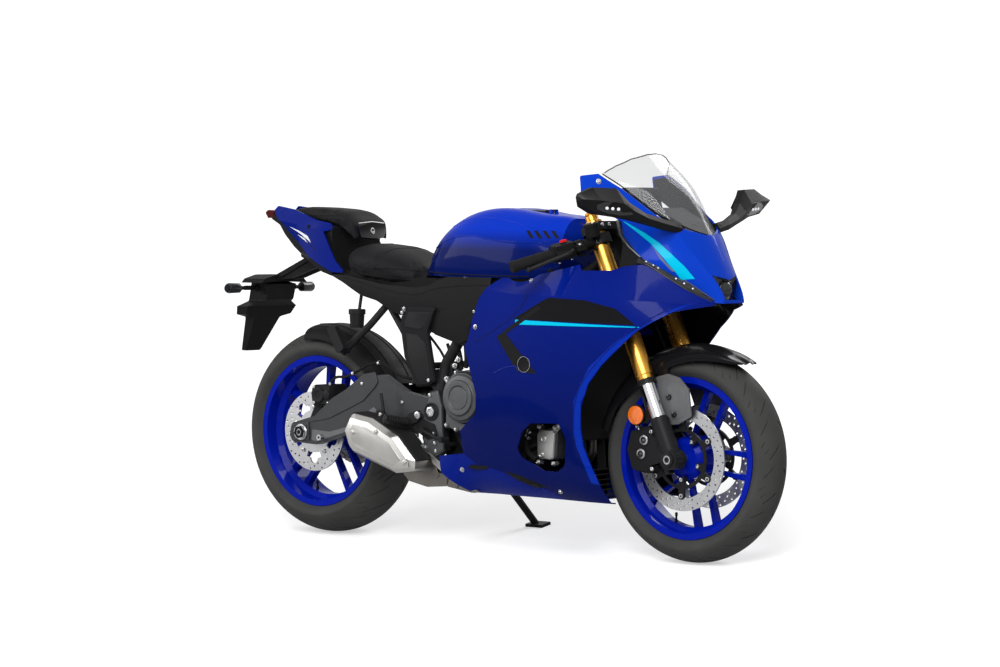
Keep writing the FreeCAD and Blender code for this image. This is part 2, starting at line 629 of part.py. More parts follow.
def frame_parts():
    parts = {}
    head = disc(on_leg(0, 0, -FORK_OFFSET), UP_FORK, 32.0, LOWER_CLAMP + 22, UPPER_CLAMP - 16, STEM_R + GAP)
    spar = bent_tube([on_leg(640, 24, -FORK_OFFSET - 20), at(960, 112, 742), at(640, 132, 640), at(572, 136, 540),
                      at(562, 152, 440)], 17.0, 60.0)
    down = bent_tube([on_leg(580, 22, -FORK_OFFSET - 18), at(1000, 134, 700), at(840, 149, 560)], 14.0, 40.0)
    post = rod(at(930, 112, 735), at(930, 112, TANK_BASE - GAP), 9.0)
    side = fused([spar, down, post])
    pivot_plate = plate([(512, 373, 8), (535, 459, 12), (571, 468, 8), (590, 420), (592, 343), (600, 283, 8),
                         (560, 262, 12), (524, 273, 8), (508, 320)], ARM_OUT + GAP, ARM_OUT + 22)
    bolt = rod(at(PIVOT[0], -ARM_OUT - 24, PIVOT[1]), at(PIVOT[0], ARM_OUT + 24, PIVOT[1]), 10.5)
    cross = rod(at(590, -ARM_OUT - 10, 300), at(590, ARM_OUT + 10, 300), 9.0)
    main_frame = [head, side, mirrored(side), pivot_plate, mirrored(pivot_plate), bolt, cross]
    parts["frame"] = fused(main_frame + stand_bracket())
    rail = bent_tube([at(576, 108, 640), at(430, 116, 706), at(160, 90, 768), at(-60, 76, 858)], 13.0, 60.0)
    strut = bent_tube([at(560, 150, 452), at(430, 128, 590), at(300, 106, 736)], 11.0, 60.0)
    bridge = rod(at(160, -90, 768), at(160, 90, 768), 10.0)
    arm = bent_tube([at(330, 106, 726), at(280, 146, 650), at(186, 168, 562)], 11.0, 60.0)
    peg = plate([(150, 636, 6), (182, 645, 6), (222, 578, 8), (194, 560, 8)], 184, 202)
    hinge = rod(at(202, 158, 570), at(202, 190, 572), 9.0)
    yoke = rod(at(486, -134, 531), at(486, 134, 531), 10.0)
    rest = rod(at(215, 95, 748), at(215, 95, SEAT_REST - 1.5), 8.0)
    side = fused([rail, strut, arm, peg, hinge, rest])
    pot = turned([(638, 0), (638, 21, 3), (678, 23), (678, 26), (694, 26, 3), (694, 0)], at(201, -120, 0), at(0, 0, 1))
    stay = rod(at(201, -110, 690), at(201, -96, 759), 5.0)
    parts["subframe"] = fused([side, mirrored(side), bridge, yoke, pot, stay]).cut(parts["frame"])
    return parts


def seat_and_tail_parts(subframe):
    parts = {}
    rider = []
    for x, top, half, low in ((152, 884, 110, 806), (215, 884, 124, SEAT_REST), (279, 880, 130, 780),
                              (340, 862, 128, 775), (414, 828, 106, 771), (440, 806, 78, 771)):
        rider.append((x, [(0, top), (half * 0.6, top - 3), (half, top - 26), (half + 4, low + 8), (half, low)]))
    parts["rider_seat"] = body_loft(rider, [3], True)
    pillion = []
    for x, top, half, low in ((-160, 990, 46, 966), (-80, 996, 59, 962), (0, 994, 76, 958), (60, 990, 87, 951),
                              (110, 982, 92, 935), (138, 968, 84, 905), (149, 950, 74, 892)):
        pillion.append((x, [(0, top), (half * 0.7, top - 4), (half, top - 14), (half, low)]))
    parts["pillion_seat"] = body_loft(pillion, [2], True)
    rows = []
    for x, top_y, top_z, belt_y, belt_z, low_y, low_z in (
            (-230, 42, 1008, 52, 972, 46, 958), (-181, 50, 1004, 62, 960, 58, 946), (-110, 62, 995, 76, 951, 71, 900),
            (-20, 82, 972, 100, 939, 98, 842), (59, 98, 957, 120, 927, 116, 800), (112, 106, 936, 125, 884, 120, 790),
            (160, 110, 860, 126, 826, 124, 786)):
        def place(u, v, x=x):
            return at(x, u, v)
        rows.append((place, [(top_y, top_z), (belt_y, belt_z), (low_y, low_z)]))
    side_view = plate([(-214, 990, 6), (-197, 1005, 6), (-113, 994), (-6, 964), (72, 953), (94, 936, 4), (60, 927),
                       (112, 838), (152, 803, 5), (96, 804), (-20, 849), (-124, 921), (-181, 959)], 20, 200)
    side = panel(rows, [1], -4.0).common(side_view)
    parts["tail_sides"] = both(side)
    tray = []
    for x, top, half, low in ((-236, 980, 36, 964), (-190, 974, 48, 946), (-160, 965 - GAP, 56, 916),
                              (-112, 961, 66, 879), (-48, 958, 86, 846), (40, 950, 104, 804), (88, 940, 110, 792)):
        tray.append((x, [(0, top), (half, top), (half, low)]))
    under = body_loft(tray, [1], True).cut(parts["pillion_seat"]).cut(parts["tail_sides"])
    parts["tail_tray"] = largest(under.cut(subframe))
    lamp = plate([(-262, 984, 5), (-250, 992, 4), (-226, 988), (-226, 970), (-250, 966, 4)], -38, 38)
    parts["tail_lamp"] = lamp.cut(parts["tail_tray"])
    parts["plate_bracket"] = plate_bracket().cut(parts["tail_tray"])
    rows = []
    for x, top_y, top_z, mid_y, mid_z, low_y, low_z in (
            (70, 114, 812, 119, 790, 114, 750), (160, 124, 804, 129, 780, 122, 730), (300, 138, 788, 143, 750, 136, 690),
            (430, 148, 780, 155, 735, 151, 670), (560, 152, 812, 159, 760, 157, 600), (680, 153, 814, 161, 760, 161, 590),
            (760, 152, 814, 161, 770, 162, 700)):
        def place(u, v, x=x):
            return at(x, u, v)
        rows.append((place, [(top_y, top_z), (mid_y, mid_z), (low_y, low_z)]))
    side_view = plate([(99, 798), (162, 796), (243, 784), (315, 773), (452, 765, 20), (518, 772, 20), (556, 790),
                       (594, 800), (786, 800), (795, 787, 4), (785, 774), (729, 747, 8), (697, 668, 8), (665, 596, 8),
                       (545, 628, 8), (528, 660), (464, 706, 12), (446, 706), (404, 680, 8), (370, 690), (299, 722, 10),
                       (227, 737, 10)], 60, 250)
    cover = panel(rows, [], -4.0).common(side_view)
    parts["side_covers"] = both(fused([cover, boss(cover, 634, 640, 149 + GAP)]))
    brace = bevelled([(426, 679, 6), (461, 709, 8), (560, 708, 6), (531, 635, 20), (562, 490, 5), (533, 476, 5),
                      (487, 470, 5), (440, 556, 40), (424, 645, 8)], 163 + GAP, 176, 4, 0.95)
    parts["frame_covers"] = both(brace)
    return parts


def plate_bracket():
    """Number plate bracket under the tail: hooded body with side wings, two arms and the rear indicators."""
    half = [(62, 774), (62, 706, 6), (111, 690), (102, 664, 6), (58, 655, 10), (33, 547, 8)]
    outline_points = half + [(-p[0],) + tuple(p[1:]) for p in half[::-1]]
    depth = plate([(-296, 774), (-222, 760), (-234, 712, 12), (-268, 690), (-350, 547), (-368, 547), (-312, 694),
                   (-302, 742)], -120, 120)
    body = front_plate(outline_points, -400, -200).common(depth)
    hood = front_plate([(-104, 764), (-90, 777), (-40, 789, 60), (40, 789, 60), (90, 777), (104, 764), (40, 768),
                        (-40, 768)], -302, -214)
    arm = plate([(-228, 770), (-222, 790), (-86, 850), (-60, 868), (-14, 846), (-40, 818), (-154, 780)], 20, 30)
    groove = plate([(-205, 780), (-80, 838), (-56, 828), (-150, 788)], 25, 30)
    stem = rod(at(-276, 50, 748), at(-276, 140, 748), 6.0)
    pod = turned([(132, 0), (132, 8), (142, 13), (188, 15, 5), (198, 9), (198, 0)], at(-276, 0, 748), ACROSS)
    side = fused([arm.cut(groove), stem, pod])
    return fused([body, hood, side, mirrored(side)])


def tank_parts():
    parts = {}
    sections = []
    for x, top, shoulder, level, base in ((446, 832, 60, 826, 72), (482, 874, 92, 852, 100), (540, 946, 118, 900, 126),
                                          (620, 987, 140, 922, 142), (700, 1001, 150, 918, 150),
                                          (800, 998, 152, 910, 156), (900, 985, 140, 905, 150),
                                          (985, 974, 104, 912, 112)):
        sections.append((x, [(0, top), (shoulder * 0.55, top - 4), (shoulder * 0.9, level + 22), (shoulder, level),
                             (base + 4, (level + TANK_BASE) / 2), (base, TANK_BASE)]))
    lid_axis = unit(at(0.06, 0, 1))
    pocket = disc(at(*CAP_CENTRE), lid_axis, CAP_R + 2.0, 86 - GAP, 200)
    hinge = at(*CAP_CENTRE) + FreeCAD.Vector(CAP_HINGE[0] - CAP_CENTRE[0], 0, CAP_HINGE[2] - CAP_CENTRE[2])
    lug = plate_at(hinge, [(-5, -18), (7, -18), (5, 3, 2), (-4, 3, 2)], 10 + GAP, 16)
    tank = body_loft(sections, [3]).cut(pocket)
    parts["fuel_tank"] = fused([tank, lug, mirrored(lug)])
    lid = disc(at(*CAP_CENTRE), lid_axis, CAP_R, 86, 98)
    knuckle = rod(hinge - ACROSS * 10.0, hinge + ACROSS * 10.0, 3.0)
    tongue = plate_at(hinge, [(-22, -5), (0, -2), (0, 3), (-22, 1)], -10, 10)
    parts["fuel_cap"] = fused([lid, knuckle, tongue])
    return parts


def fairing_parts():
    parts = {}
    stations = []
    for x, top_y, top_z, belt_y, belt_z, mid_y, low_y, foot_y in (
            (540, 148, 812, 205, 760, 200, 190, 150), (700, 172, 806, 225, 762, 222, 208, 158),
            (850, 190, 806, 242, 765, 240, 222, 160), (1000, 206, 822, 245, 755, 244, 228, 172),
            (1100, 212, 848, 241, 755, 240, 230, 184), (1200, 204, 846, 225, 752, 230, 226, 194),
            (1300, 176, 852, 192, 747, 212, 212, 190), (1400, 130, 812, 142, 741, 186, 192, 180),
            (1470, 92, 772, 96, 738, 160, 172, 140), (1525, 46, 748, 48, 738, 140, 160, 135)):
        def place(u, v, x=x):
            return at(x, u, v)
        half = [(top_y, top_z), (belt_y, belt_z), (mid_y + 1, 620), (mid_y, 480), (low_y, 300),
                ((low_y + foot_y) / 2 + 8, 215), (foot_y, 168), (foot_y * 0.5, 160)]
        stations.append((place, half + [(0, 158)] + [(-u, v) for u, v in half[::-1]]))
    skin = panel(stations, [1, 6, 10, 15], -4.0)
    outline_points = [(840, 801), (915, 804), (1030, 822), (1134, 845), (1145, 828), (1238, 830), (1275, 842, 10),
                      (1340, 850, 20), (1410, 803), (1452, 771), (1506, 744), (1503, 734), (1418, 716), (1332, 661, 60),
                      (1227, 562, 60), (1182, 506, 60), (1157, 430, 60), (1158, 370, 60), (1176, 305, 60), (1216, 226),
                      (1244, 163, 6), (1074, 167), (997, 200), (846, 240), (756, 256), (700, 285), (690, 350),
                      (764, 406), (768, 462), (718, 600), (734, 620), (750, 674), (782, 741, 8)]
    edge = plate(outline_points, 20, 300).cut(plate([(1060, 140), (1300, 140), (1300, 190), (1060, 190)], 0, 172))
    hole = plate([(977, 387, 20), (944, 360, 16), (919, 308, 16), (939, 284, 14), (989, 266, 14), (1016, 252, 14),
                  (1068, 251, 20), (1099, 271, 20), (1105, 347, 20), (1082, 391, 20)], 100, 300)
    side = skin.common(edge).cut(hole)
    bosses = [boss(side, 768, 670, 142.0), boss(side, 1046, 640, BRACKET_Y + GAP)]
    parts["side_fairings"] = both(fused([side] + bosses))
    pan_side = plate([(596, 272), (610, 224), (724, 150), (1062, 150), (1074, 167), (997, 200 - GAP),
                      (846, 240 - GAP), (756, 256 - GAP), (700, 285 - GAP)], -250, 250)
    parts["belly_pan"] = largest(skin.common(pan_side))
    parts["nose_cowl"] = nose_cowl()
    parts["windscreen"] = windscreen()
    inner = lamp_panels()
    inner = largest(inner.cut(parts["nose_cowl"]).cut(parts["side_fairings"]))
    parts["lamp_panels"] = both(inner)
    housing = front_plate([(u * 0.98, v - 0.4) for u, v in LAMP_OPENING], 1452, 1492)
    lens = turned([(0, 0), (0, 27), (8, 25), (16, 17), (20, 0)], at(1488, 0, 777), at(1, 0, 0))
    shell = front_plate([(-60, 840), (60, 840), (60, 730), (-60, 730)], 1400, 1600).cut(parts["nose_cowl"])
    parts["headlamp"] = fused([housing, lens]).common(shell)
    stay = plate([(1140, 868), (1300, 884, 20), (1452, 790), (1452, 756), (1290, 850, 20), (1150, 838)], -9, 9)
    column = plate([(1268, 860), (1210, 1000), (1200, 1060, 8), (1180, 1056, 8), (1190, 990), (1240, 860)], -9, 9)
    dial = plate([(1196, 985, 6), (1178, 1062, 6), (1194, 1068, 6), (1214, 990, 6)], -78, 78)
    hood = plate([(1424, 926), (1378, 968), (1290, 1010, 8), (1280, 1000, 4), (1350, 952, 20), (1410, 918)], -64, 64)
    foot = plate([(1290, 860), (1330, 856), (1366, 950), (1350, 962)], -9, 9)
    cockpit = fused([stay, column, dial, hood, foot]).cut(parts["headlamp"])
    parts["cockpit"] = cockpit.cut(disc(on_leg(0, 0, -FORK_OFFSET), UP_FORK, 32.0, LOWER_CLAMP, UPPER_CLAMP))
    parts["mirrors"] = both(largest(mirror().cut(parts["nose_cowl"])))
    return parts


def mirror():
    """Mirror from its foot on the cowl along the arm to the faceted housing."""
    rings = []
    for y, outline_points in (
            (88, [(1380, 962), (1396, 966), (1408, 950), (1402, 936), (1384, 936)]),
            (150, [(1372, 972), (1388, 976), (1400, 962), (1394, 946), (1376, 946)]),
            (215, [(1352, 990), (1370, 994), (1386, 978), (1378, 962), (1358, 962)]),
            (262, [(1330, 1022), (1352, 1022), (1376, 996), (1368, 974), (1338, 974)]),
            (304, [(1312, 1060), (1336, 1062), (1366, 1020), (1352, 982), (1318, 982)]),
            (383, [(1296, 1062), (1316, 1064), (1346, 1028), (1334, 991), (1300, 991)]),
            (430, [(1296, 1046), (1308, 1048), (1332, 1030), (1322, 1012), (1298, 1010)]),
            (448, [(1306, 1037), (1314, 1039), (1328, 1032), (1324, 1027), (1308, 1027)])):
        corners = [at(x, y, z) for x, z in outline_points]
        rings.append(Part.makePolygon(corners + corners[:1]))
    return Part.makeLoft(rings, True, True)


def boss(skin, x, z, start):
    """Mounting boss from a bracket out to the middle of a side panel's wall."""
    wall = skin.common(Part.makeLine(at(x, 20, z), at(x, 400, z))).BoundBox
    return rod(at(x, start, z), at(x, (wall.YMin + wall.YMax) / 2, z), 10.0)


def screen_edge(lift):
    """Side-view line between the nose cowl and the screen, moved off it by a distance."""
    return offset([(1162, 1104), (1238, 1062), (1330, 992), (1400, 951), (1440, 931)], lift)


def nose_cowl():
    levels = []
    for z, side_x, side_y, ridge_x, ridge_y, nose_x in (
            (1110, 1085, 172, 1172, 158, 1290), (1040, 1085, 178, 1280, 142, 1366), (985, 1095, 186, 1352, 118, 1405),
            (930, 1120, 192, 1405, 103, 1440), (857, 1240, 188, 1458, 76, 1480), (800, 1300, 142, 1499, 57, 1509),
            (738, 1400, 98, 1523, 49, 1524)):
        def place(u, v, z=z):
            return at(u, v, z)
        cheek = ((side_x + ridge_x) / 2 + 2, (side_y + ridge_y) / 2 + 5)
        brow = (ridge_x + 0.72 * (nose_x - ridge_x), ridge_y / 2)
        half = [(side_x, side_y), cheek, (ridge_x, ridge_y), brow]
        levels.append((place, half + [(nose_x, 0)] + [(u, -v) for u, v in half[::-1]]))
    skin = panel(levels[::-1], [2, 6], -3.0)
    side_view = plate([(1101, 1098, 6)] + screen_edge(0) +
                      [(1560, 800), (1560, 738), (1498, 742), (1391, 817), (1327, 855), (1250, 922), (1240, 967),
                       (1109, 1040, 8)], -250, 250)
    return skin.common(side_view).cut(front_plate(LAMP_OPENING, 1440, 1600))


def lamp_panels():
    """Black panels between the cowl's cheeks and the side fairings, where the slit lamps sit."""
    rows = []
    for x, y_in, z_in, y_out, z_out in ((1256, 166, 916, 183, 836), (1300, 151, 874, 171, 841), (1345, 128, 838, 155, 839),
                                        (1391, 99, 808, 136, 808), (1450, 74, 771, 102, 764), (1504, 50, 736, 66, 734)):
        def place(u, v, x=x):
            return at(x, u, v)
        rows.append((place, [(y_in, z_in), (y_out, z_out)]))
    return panel(rows, [], -3.0)


def windscreen():
    levels = []
    for z, nose_x, wide in ((1168, 1238, 0.86), (1125, 1284, 0.94), (1042, 1366, 0.96), (985, 1405, 0.86),
                            (928, 1443, 0.74)):
        def place(u, v, z=z):
            return at(u, v, z)
        half = [(nose_x - 230, 170 * wide), (nose_x - 120, 150 * wide), (nose_x - 42, 100 * wide),
                (nose_x - 8, 45 * wide)]
        points = half + [(nose_x, 0)] + [(u, -v) for u, v in half[::-1]]
        levels.append((place, points))
    skin = panel(levels[::-1], [], -3.0)
    side_view = plate(screen_edge(GAP) + [(1500, 960), (1300, 1168), (1243, 1166)], -250, 250)
    return skin.common(side_view)


def foot_parts():
    parts = {}
    heel = plate([(438, 362, 6), (470, 351), (535, 315, 6), (575, 329, 6), (560, 362, 8), (511, 378, 8)], 168.3, 176)
    peg = rod(at(473, 170, 362), at(440, 262, 378), 11.0)
    rider = fused([heel, peg])
    pedal = bent_tube([at(520, 182, 343), at(590, 196, 322), at(640, 204, 322)], 6.0, 30.0)
    toe = rod(at(636, 202, 322), at(636, 238, 322), 7.0)
    pivot = rod(at(522, 170, 343), at(522, 190, 343), 10.0)
    side = fused([rider, pedal, toe, pivot])
    parts["footrests"] = both(side)
    return parts


def ground_place():
    """Roll onto the stand, and pitch so that both tyres touch the floor at height zero."""
    lean = math.radians(LEAN)
    front_crown = crown_radius(FRONT_TYRE_R, FRONT_TYRE_W)
    rear_crown = crown_radius(REAR_TYRE_R, REAR_TYRE_W)
    front_low = (FRONT_AXLE_Z - FRONT_TYRE_R + front_crown) * math.cos(lean) - front_crown
    rear_low = (REAR_AXLE_Z - REAR_TYRE_R + rear_crown) * math.cos(lean) - rear_crown
    pitch = math.degrees(math.atan2(front_low - rear_low, WHEELBASE))
    roll = FreeCAD.Placement(at(0, 0, 0), FreeCAD.Rotation(at(1, 0, 0), -LEAN))
    nod = FreeCAD.Placement(at(0, 0, 0), FreeCAD.Rotation(at(0, 1, 0), pitch))
    drop = FreeCAD.Placement(at(0, 0, -rear_low), FreeCAD.Rotation())
    return drop.multiply(nod).multiply(roll)


def crown_radius(radius, width):
    """Radius of the tyre's crown arc."""
    half = width / 2 - 1.5
    rise = 0.56 * width / 2
    return (half * half + rise * rise) / (2 * rise)


def side_stand(place):
    """Leg and foot; the foot's flat lies on the floor once the bike leans."""
    inverse = place.inverse()
    floor_here = place.multVec(at(STAND_FOOT[0], STAND_FOOT[1], 0))
    foot_centre = flat(floor_here.x, floor_here.y)
    pad = Part.makeBox(64, 44, 9, foot_centre + at(-26, -20, 0))
    pad.Placement = inverse.multiply(pad.Placement)
    pivot = at(*STAND_PIVOT)
    sole = inverse.multVec(foot_centre + at(0, 0, 6))
    bend = pivot + (sole - pivot) * 0.55 + at(0, 10, -8)
    leg = bent_tube([pivot, bend, sole], STAND_R, 60.0)
    axis = unit(at(*STAND_AXIS))
    eye = disc(pivot, axis, 19.0, -9.0, 9.0, 6.3)
    leg = leg.cut(disc(pivot, axis, 6.3, -30, 30))
    leg = leg.cut(disc(pivot, axis, 24.0, 9.0, 30)).cut(disc(pivot, axis, 24.0, -30, -9.0))
    return fused([leg, eye, pad])


def stand_bracket():
    pivot = at(*STAND_PIVOT)
    axis = unit(at(*STAND_AXIS))
    spool = turned([(-14.0, 0), (-14.0, 17.0), (-9.3, 17.0), (-9.3, 6.0), (9.3, 6.0), (9.3, 17.0), (14.0, 17.0),
                    (14.0, 0)], pivot, axis)
    web = rod(pivot + axis * -12.0, at(590, 116, 300), 9.0)
    web = web.cut(disc(pivot, axis, 24.0, -10.5, 30.0))
    return [spool, web]


def collect():
    parts = {}
    for group in (front_wheel_parts, rear_wheel_parts, fork_parts, bars_parts, front_fender_parts, rear_end_parts,
                  engine_parts, frame_parts, tank_parts, fairing_parts, foot_parts):
        parts.update(group())
    parts.update(seat_and_tail_parts(parts["subframe"]))
    parts.update(exhaust_parts(parts["engine_block"]))
    place = ground_place()
    parts["side_stand"] = side_stand(place)
    box = FreeCAD.BoundBox()
    for shape in parts.values():
        leaned = shape.copy()
        leaned.Placement = place.multiply(leaned.Placement)
        box.add(leaned.optimalBoundingBox(False))
    print("box", box.XLength, box.YLength, box.ZLength, "lowest", box.ZMin)
    centre = FreeCAD.Placement(flat(-box.Center.x, -box.Center.y), FreeCAD.Rotation())
    return parts, centre.multiply(place)


def main():
    os.makedirs("parts", exist_ok=True)
    parts, final = collect()
    for name, shape in parts.items():
        shape.Placement = final.multiply(shape.Placement)
        shape.exportStep("parts/%s.step" % name)
        print(name, len(shape.Solids), round(shape.Volume / 1e3), "cm3", "valid" if shape.isValid() else "INVALID")


main()
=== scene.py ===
import bpy
import bmesh
import json
import math
from mathutils import Matrix, Vector
from mathutils.bvhtree import BVHTree


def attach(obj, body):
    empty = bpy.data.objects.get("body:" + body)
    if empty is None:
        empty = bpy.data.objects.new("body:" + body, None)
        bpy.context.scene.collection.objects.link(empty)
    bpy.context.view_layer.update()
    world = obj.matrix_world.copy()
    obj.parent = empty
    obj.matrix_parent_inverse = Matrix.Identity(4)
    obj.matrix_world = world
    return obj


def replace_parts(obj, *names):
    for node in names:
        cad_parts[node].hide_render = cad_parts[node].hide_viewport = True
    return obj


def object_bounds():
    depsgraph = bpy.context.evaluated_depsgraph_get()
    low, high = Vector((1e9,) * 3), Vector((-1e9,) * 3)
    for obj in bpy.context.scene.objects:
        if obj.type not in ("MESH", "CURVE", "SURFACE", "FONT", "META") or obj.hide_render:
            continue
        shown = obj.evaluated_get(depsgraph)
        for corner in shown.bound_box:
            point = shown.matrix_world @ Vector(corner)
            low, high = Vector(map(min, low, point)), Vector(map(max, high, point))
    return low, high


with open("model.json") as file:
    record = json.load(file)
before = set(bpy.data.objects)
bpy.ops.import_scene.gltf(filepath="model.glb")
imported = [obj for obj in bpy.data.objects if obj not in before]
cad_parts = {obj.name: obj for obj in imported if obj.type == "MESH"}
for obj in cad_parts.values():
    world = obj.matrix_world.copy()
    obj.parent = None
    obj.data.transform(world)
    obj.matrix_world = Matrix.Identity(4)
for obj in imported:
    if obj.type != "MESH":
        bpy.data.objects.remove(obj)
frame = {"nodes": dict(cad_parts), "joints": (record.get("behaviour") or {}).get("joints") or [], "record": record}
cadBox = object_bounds()
nodes = frame["nodes"]
scene = bpy.context.scene

print("finding the bike's own axes")
# Places below are in millimetres in the bike's upright frame: x ahead of the rear axle, y to its left, z up
wheels = {
    "wheelbase": 1395, "rearAxle": 312, "frontAxle": 298,
    "rearRadius": 315, "rearWidth": 180, "rearRim": 152,
    "frontRadius": 300, "frontWidth": 120, "frontRim": 101,
    "flange": 232,
}
joints = {joint["name"]: joint for joint in frame["joints"]}
rearHub = Vector(joints["rear_wheel_spin"]["pos_m"])
frontHub = Vector(joints["front_wheel_spin"]["pos_m"])
acrossRow = Vector(joints["rear_wheel_spin"]["axis"]).normalized()


def threeAxes(ahead, side):
    ahead = (ahead - side * ahead.dot(side)).normalized()
    return Matrix((ahead, side, ahead.cross(side))).transposed()


drawn = Vector((wheels["wheelbase"], 0, wheels["frontAxle"] - wheels["rearAxle"]))
lean = threeAxes(frontHub - rearHub, acrossRow) @ threeAxes(drawn, Vector((0, 1, 0))).transposed()
bikeToRow = (Matrix.Translation(rearHub) @ lean.to_4x4()
             @ Matrix.Translation((0, 0, -wheels["rearAxle"] / 1000)) @ Matrix.Scale(0.001, 4))
rowToBike = bikeToRow.inverted()

print("camera, room and lamps")
view = {
    "azimuth": 39.723, "elevation": 2.203, "roll": 0.351, "distance": 10397, "target": (666, 0, 630), "lens": 125.67,
}


def placeCamera():
    a, e, r = (math.radians(view[k]) for k in ("azimuth", "elevation", "roll"))
    back = Vector((math.sin(a) * math.cos(e), -math.cos(a) * math.cos(e), math.sin(e)))
    right = Vector((math.cos(a), math.sin(a), 0))
    up = back.cross(right)
    turned = (math.cos(r) * right + math.sin(r) * up, math.cos(r) * up - math.sin(r) * right, back)
    pose = lean @ Matrix(turned).transposed()
    spot = bikeToRow @ (Vector(view["target"]) + back * view["distance"])
    camera = bpy.data.objects.new("camera", bpy.data.cameras.new("camera"))
    camera.data.lens = view["lens"]
    camera.data.sensor_width = 36
    camera.data.clip_end = 60
    camera.matrix_world = Matrix.Translation(spot) @ pose.to_4x4()
    scene.collection.objects.link(camera)
    scene.camera = camera


class Wire:
    # One output of a node, so that plain arithmetic on it adds Math nodes
    def __init__(self, sheet, socket):
        self.sheet = sheet
        self.socket = socket

    def math(self, operation, *others, clamp=False):
        values = dict(enumerate((self,) + others))
        return self.sheet.add("ShaderNodeMath", {"operation": operation, "use_clamp": clamp}, values)

    def __add__(self, other):
        return self.math("ADD", other)

    def __sub__(self, other):
        return self.math("SUBTRACT", other)

    def __mul__(self, other):
        return self.math("MULTIPLY", other)

    def __neg__(self):
        return self * -1.0

    def __rsub__(self, other):
        return -self + other

    def over(self, edge, soft):
        # 0 below the edge and 1 above it, with a ramp as wide as soft
        return self.math("MULTIPLY_ADD", 1.0 / soft, 0.5 - edge / soft, clamp=True)

    __radd__ = __add__
    __rmul__ = __mul__


class Sheet:
    # The nodes of one material, or of the world
    def __init__(self, name, owner=None):
        self.owner = owner or bpy.data.materials.new(name)
        self.owner.use_nodes = True
        self.tree = self.owner.node_tree
        self.tree.nodes.clear()

    def add(self, kind, settings=None, values=None, out=0):
        node = self.tree.nodes.new(kind)
        for name, value in (settings or {}).items():
            setattr(node, name, value)
        for name, value in (values or {}).items():
            if isinstance(value, Wire):
                self.tree.links.new(value.socket, node.inputs[name])
            else:
                node.inputs[name].default_value = value
        return Wire(self, node.outputs[out]) if len(node.outputs) else None

    def place(self):
        return self.add("ShaderNodeTexCoord", out="Object")

    def along(self, axis):
        # The bike's own x, y or z in millimetres
        row = rowToBike[axis]
        run = self.add("ShaderNodeVectorMath", {"operation": "DOT_PRODUCT"},
                       {0: self.place(), 1: tuple(row[:3])}, out="Value")
        return run + row[3]

    def noise(self, scale, detail=3.0, stretch=None):
        where = self.place()
        if stretch:
            where = self.add("ShaderNodeMapping", values={"Vector": where, "Scale": stretch})
        return self.add("ShaderNodeTexNoise", values={"Vector": where, "Scale": scale, "Detail": detail,
                                                      "Roughness": 0.55})

    def cells(self, scale, out):
        return self.add("ShaderNodeTexVoronoi", values={"Vector": self.place(), "Scale": scale}, out=out)

    def mix(self, share, first, second):
        # From the first colour to the second as the share grows
        first, second = (c if isinstance(c, Wire) else c + (1,) for c in (first, second))
        return self.add("ShaderNodeMix", {"data_type": "RGBA"}, {0: share, 6: first, 7: second}, out=2)

    def bump(self, height, strength, distance):
        return self.add("ShaderNodeBump", values={"Height": height, "Strength": strength, "Distance": distance})

    def shade(self, values):
        # Principled surface, which ends the material
        return self.done(self.add("ShaderNodeBsdfPrincipled", values=values))

    def done(self, shader, kind="ShaderNodeOutputMaterial"):
        self.add(kind, values={"Surface": shader})
        return self.owner


room = {
    "floor": (0.6, 0.6, 0.603), "half": 30.0, "drop": 0.0005, "worldLight": 0.34,
    # The floor's own glow for the camera, and how much brighter it is from near to far
    "glow": 0.5, "farGlow": 0.4, "near": 2.4, "far": 6.0,
    # Power, size and place of each lamp, all aimed at one point
    "lamps": {"keyLamp": (330, 3.2, (2.4, -3.6, 4.2)), "fillLamp": (110, 3.0, (-3.8, -3.0, 2.8)),
              "backLamp": (170, 3.0, (0.4, 4.2, 3.4))},
    "aim": (0, 0, 0.5),
}


def makeWorld():
    # White for camera, mirror and glass rays, dimmer as a light
    scene.world = bpy.data.worlds.new("room")
    sky = Sheet("room", scene.world)
    seen = sky.add("ShaderNodeLightPath", out="Is Camera Ray")
    for ray in ("Is Glossy Ray", "Is Transmission Ray"):
        seen = seen.math("MAXIMUM", sky.add("ShaderNodeLightPath", out=ray))
    level = seen * (1 - room["worldLight"]) + room["worldLight"]
    sky.done(sky.add("ShaderNodeBackground", values={"Strength": level}), "ShaderNodeOutputWorld")


def makeFloor():
    # White floor that keeps the shadow
    ground = Sheet("floorWhite")
    camera = ground.add("ShaderNodeLightPath", out="Is Camera Ray")
    matt = ground.add("ShaderNodeBsdfDiffuse", values={"Color": room["floor"] + (1,)})
    where = ground.add("ShaderNodeNewGeometry", out="Position")
    away = ground.add("ShaderNodeVectorMath", {"operation": "LENGTH"}, {0: where}, out="Value")
    distant = away.over((room["near"] + room["far"]) / 2, room["far"] - room["near"])
    strength = camera * (distant * room["farGlow"] + room["glow"])
    glow = ground.add("ShaderNodeEmission", values={"Strength": strength})
    mesh = bpy.data.meshes.new("floor")
    half = room["half"]
    mesh.from_pydata([(-half, -half, 0), (half, -half, 0), (half, half, 0), (-half, half, 0)], [], [(0, 1, 2, 3)])
    floor = bpy.data.objects.new("floor", mesh)
    mesh.materials.append(ground.done(ground.add("ShaderNodeAddShader", values={0: matt, 1: glow})))
    floor.location = (0, 0, cadBox[0][2] - room["drop"])
    scene.collection.objects.link(floor)


def makeLamps():
    for name, (power, size, spot) in room["lamps"].items():
        lamp = bpy.data.objects.new(name, bpy.data.lights.new(name, "AREA"))
        lamp.data.energy = power
        lamp.data.size = size
        lamp.location = spot
        lamp.rotation_euler = (Vector(room["aim"]) - lamp.location).to_track_quat("-Z", "Y").to_euler()
        scene.collection.objects.link(lamp)


placeCamera()
makeWorld()
makeFloor()
makeLamps()
scene.view_settings.view_transform = "Standard"

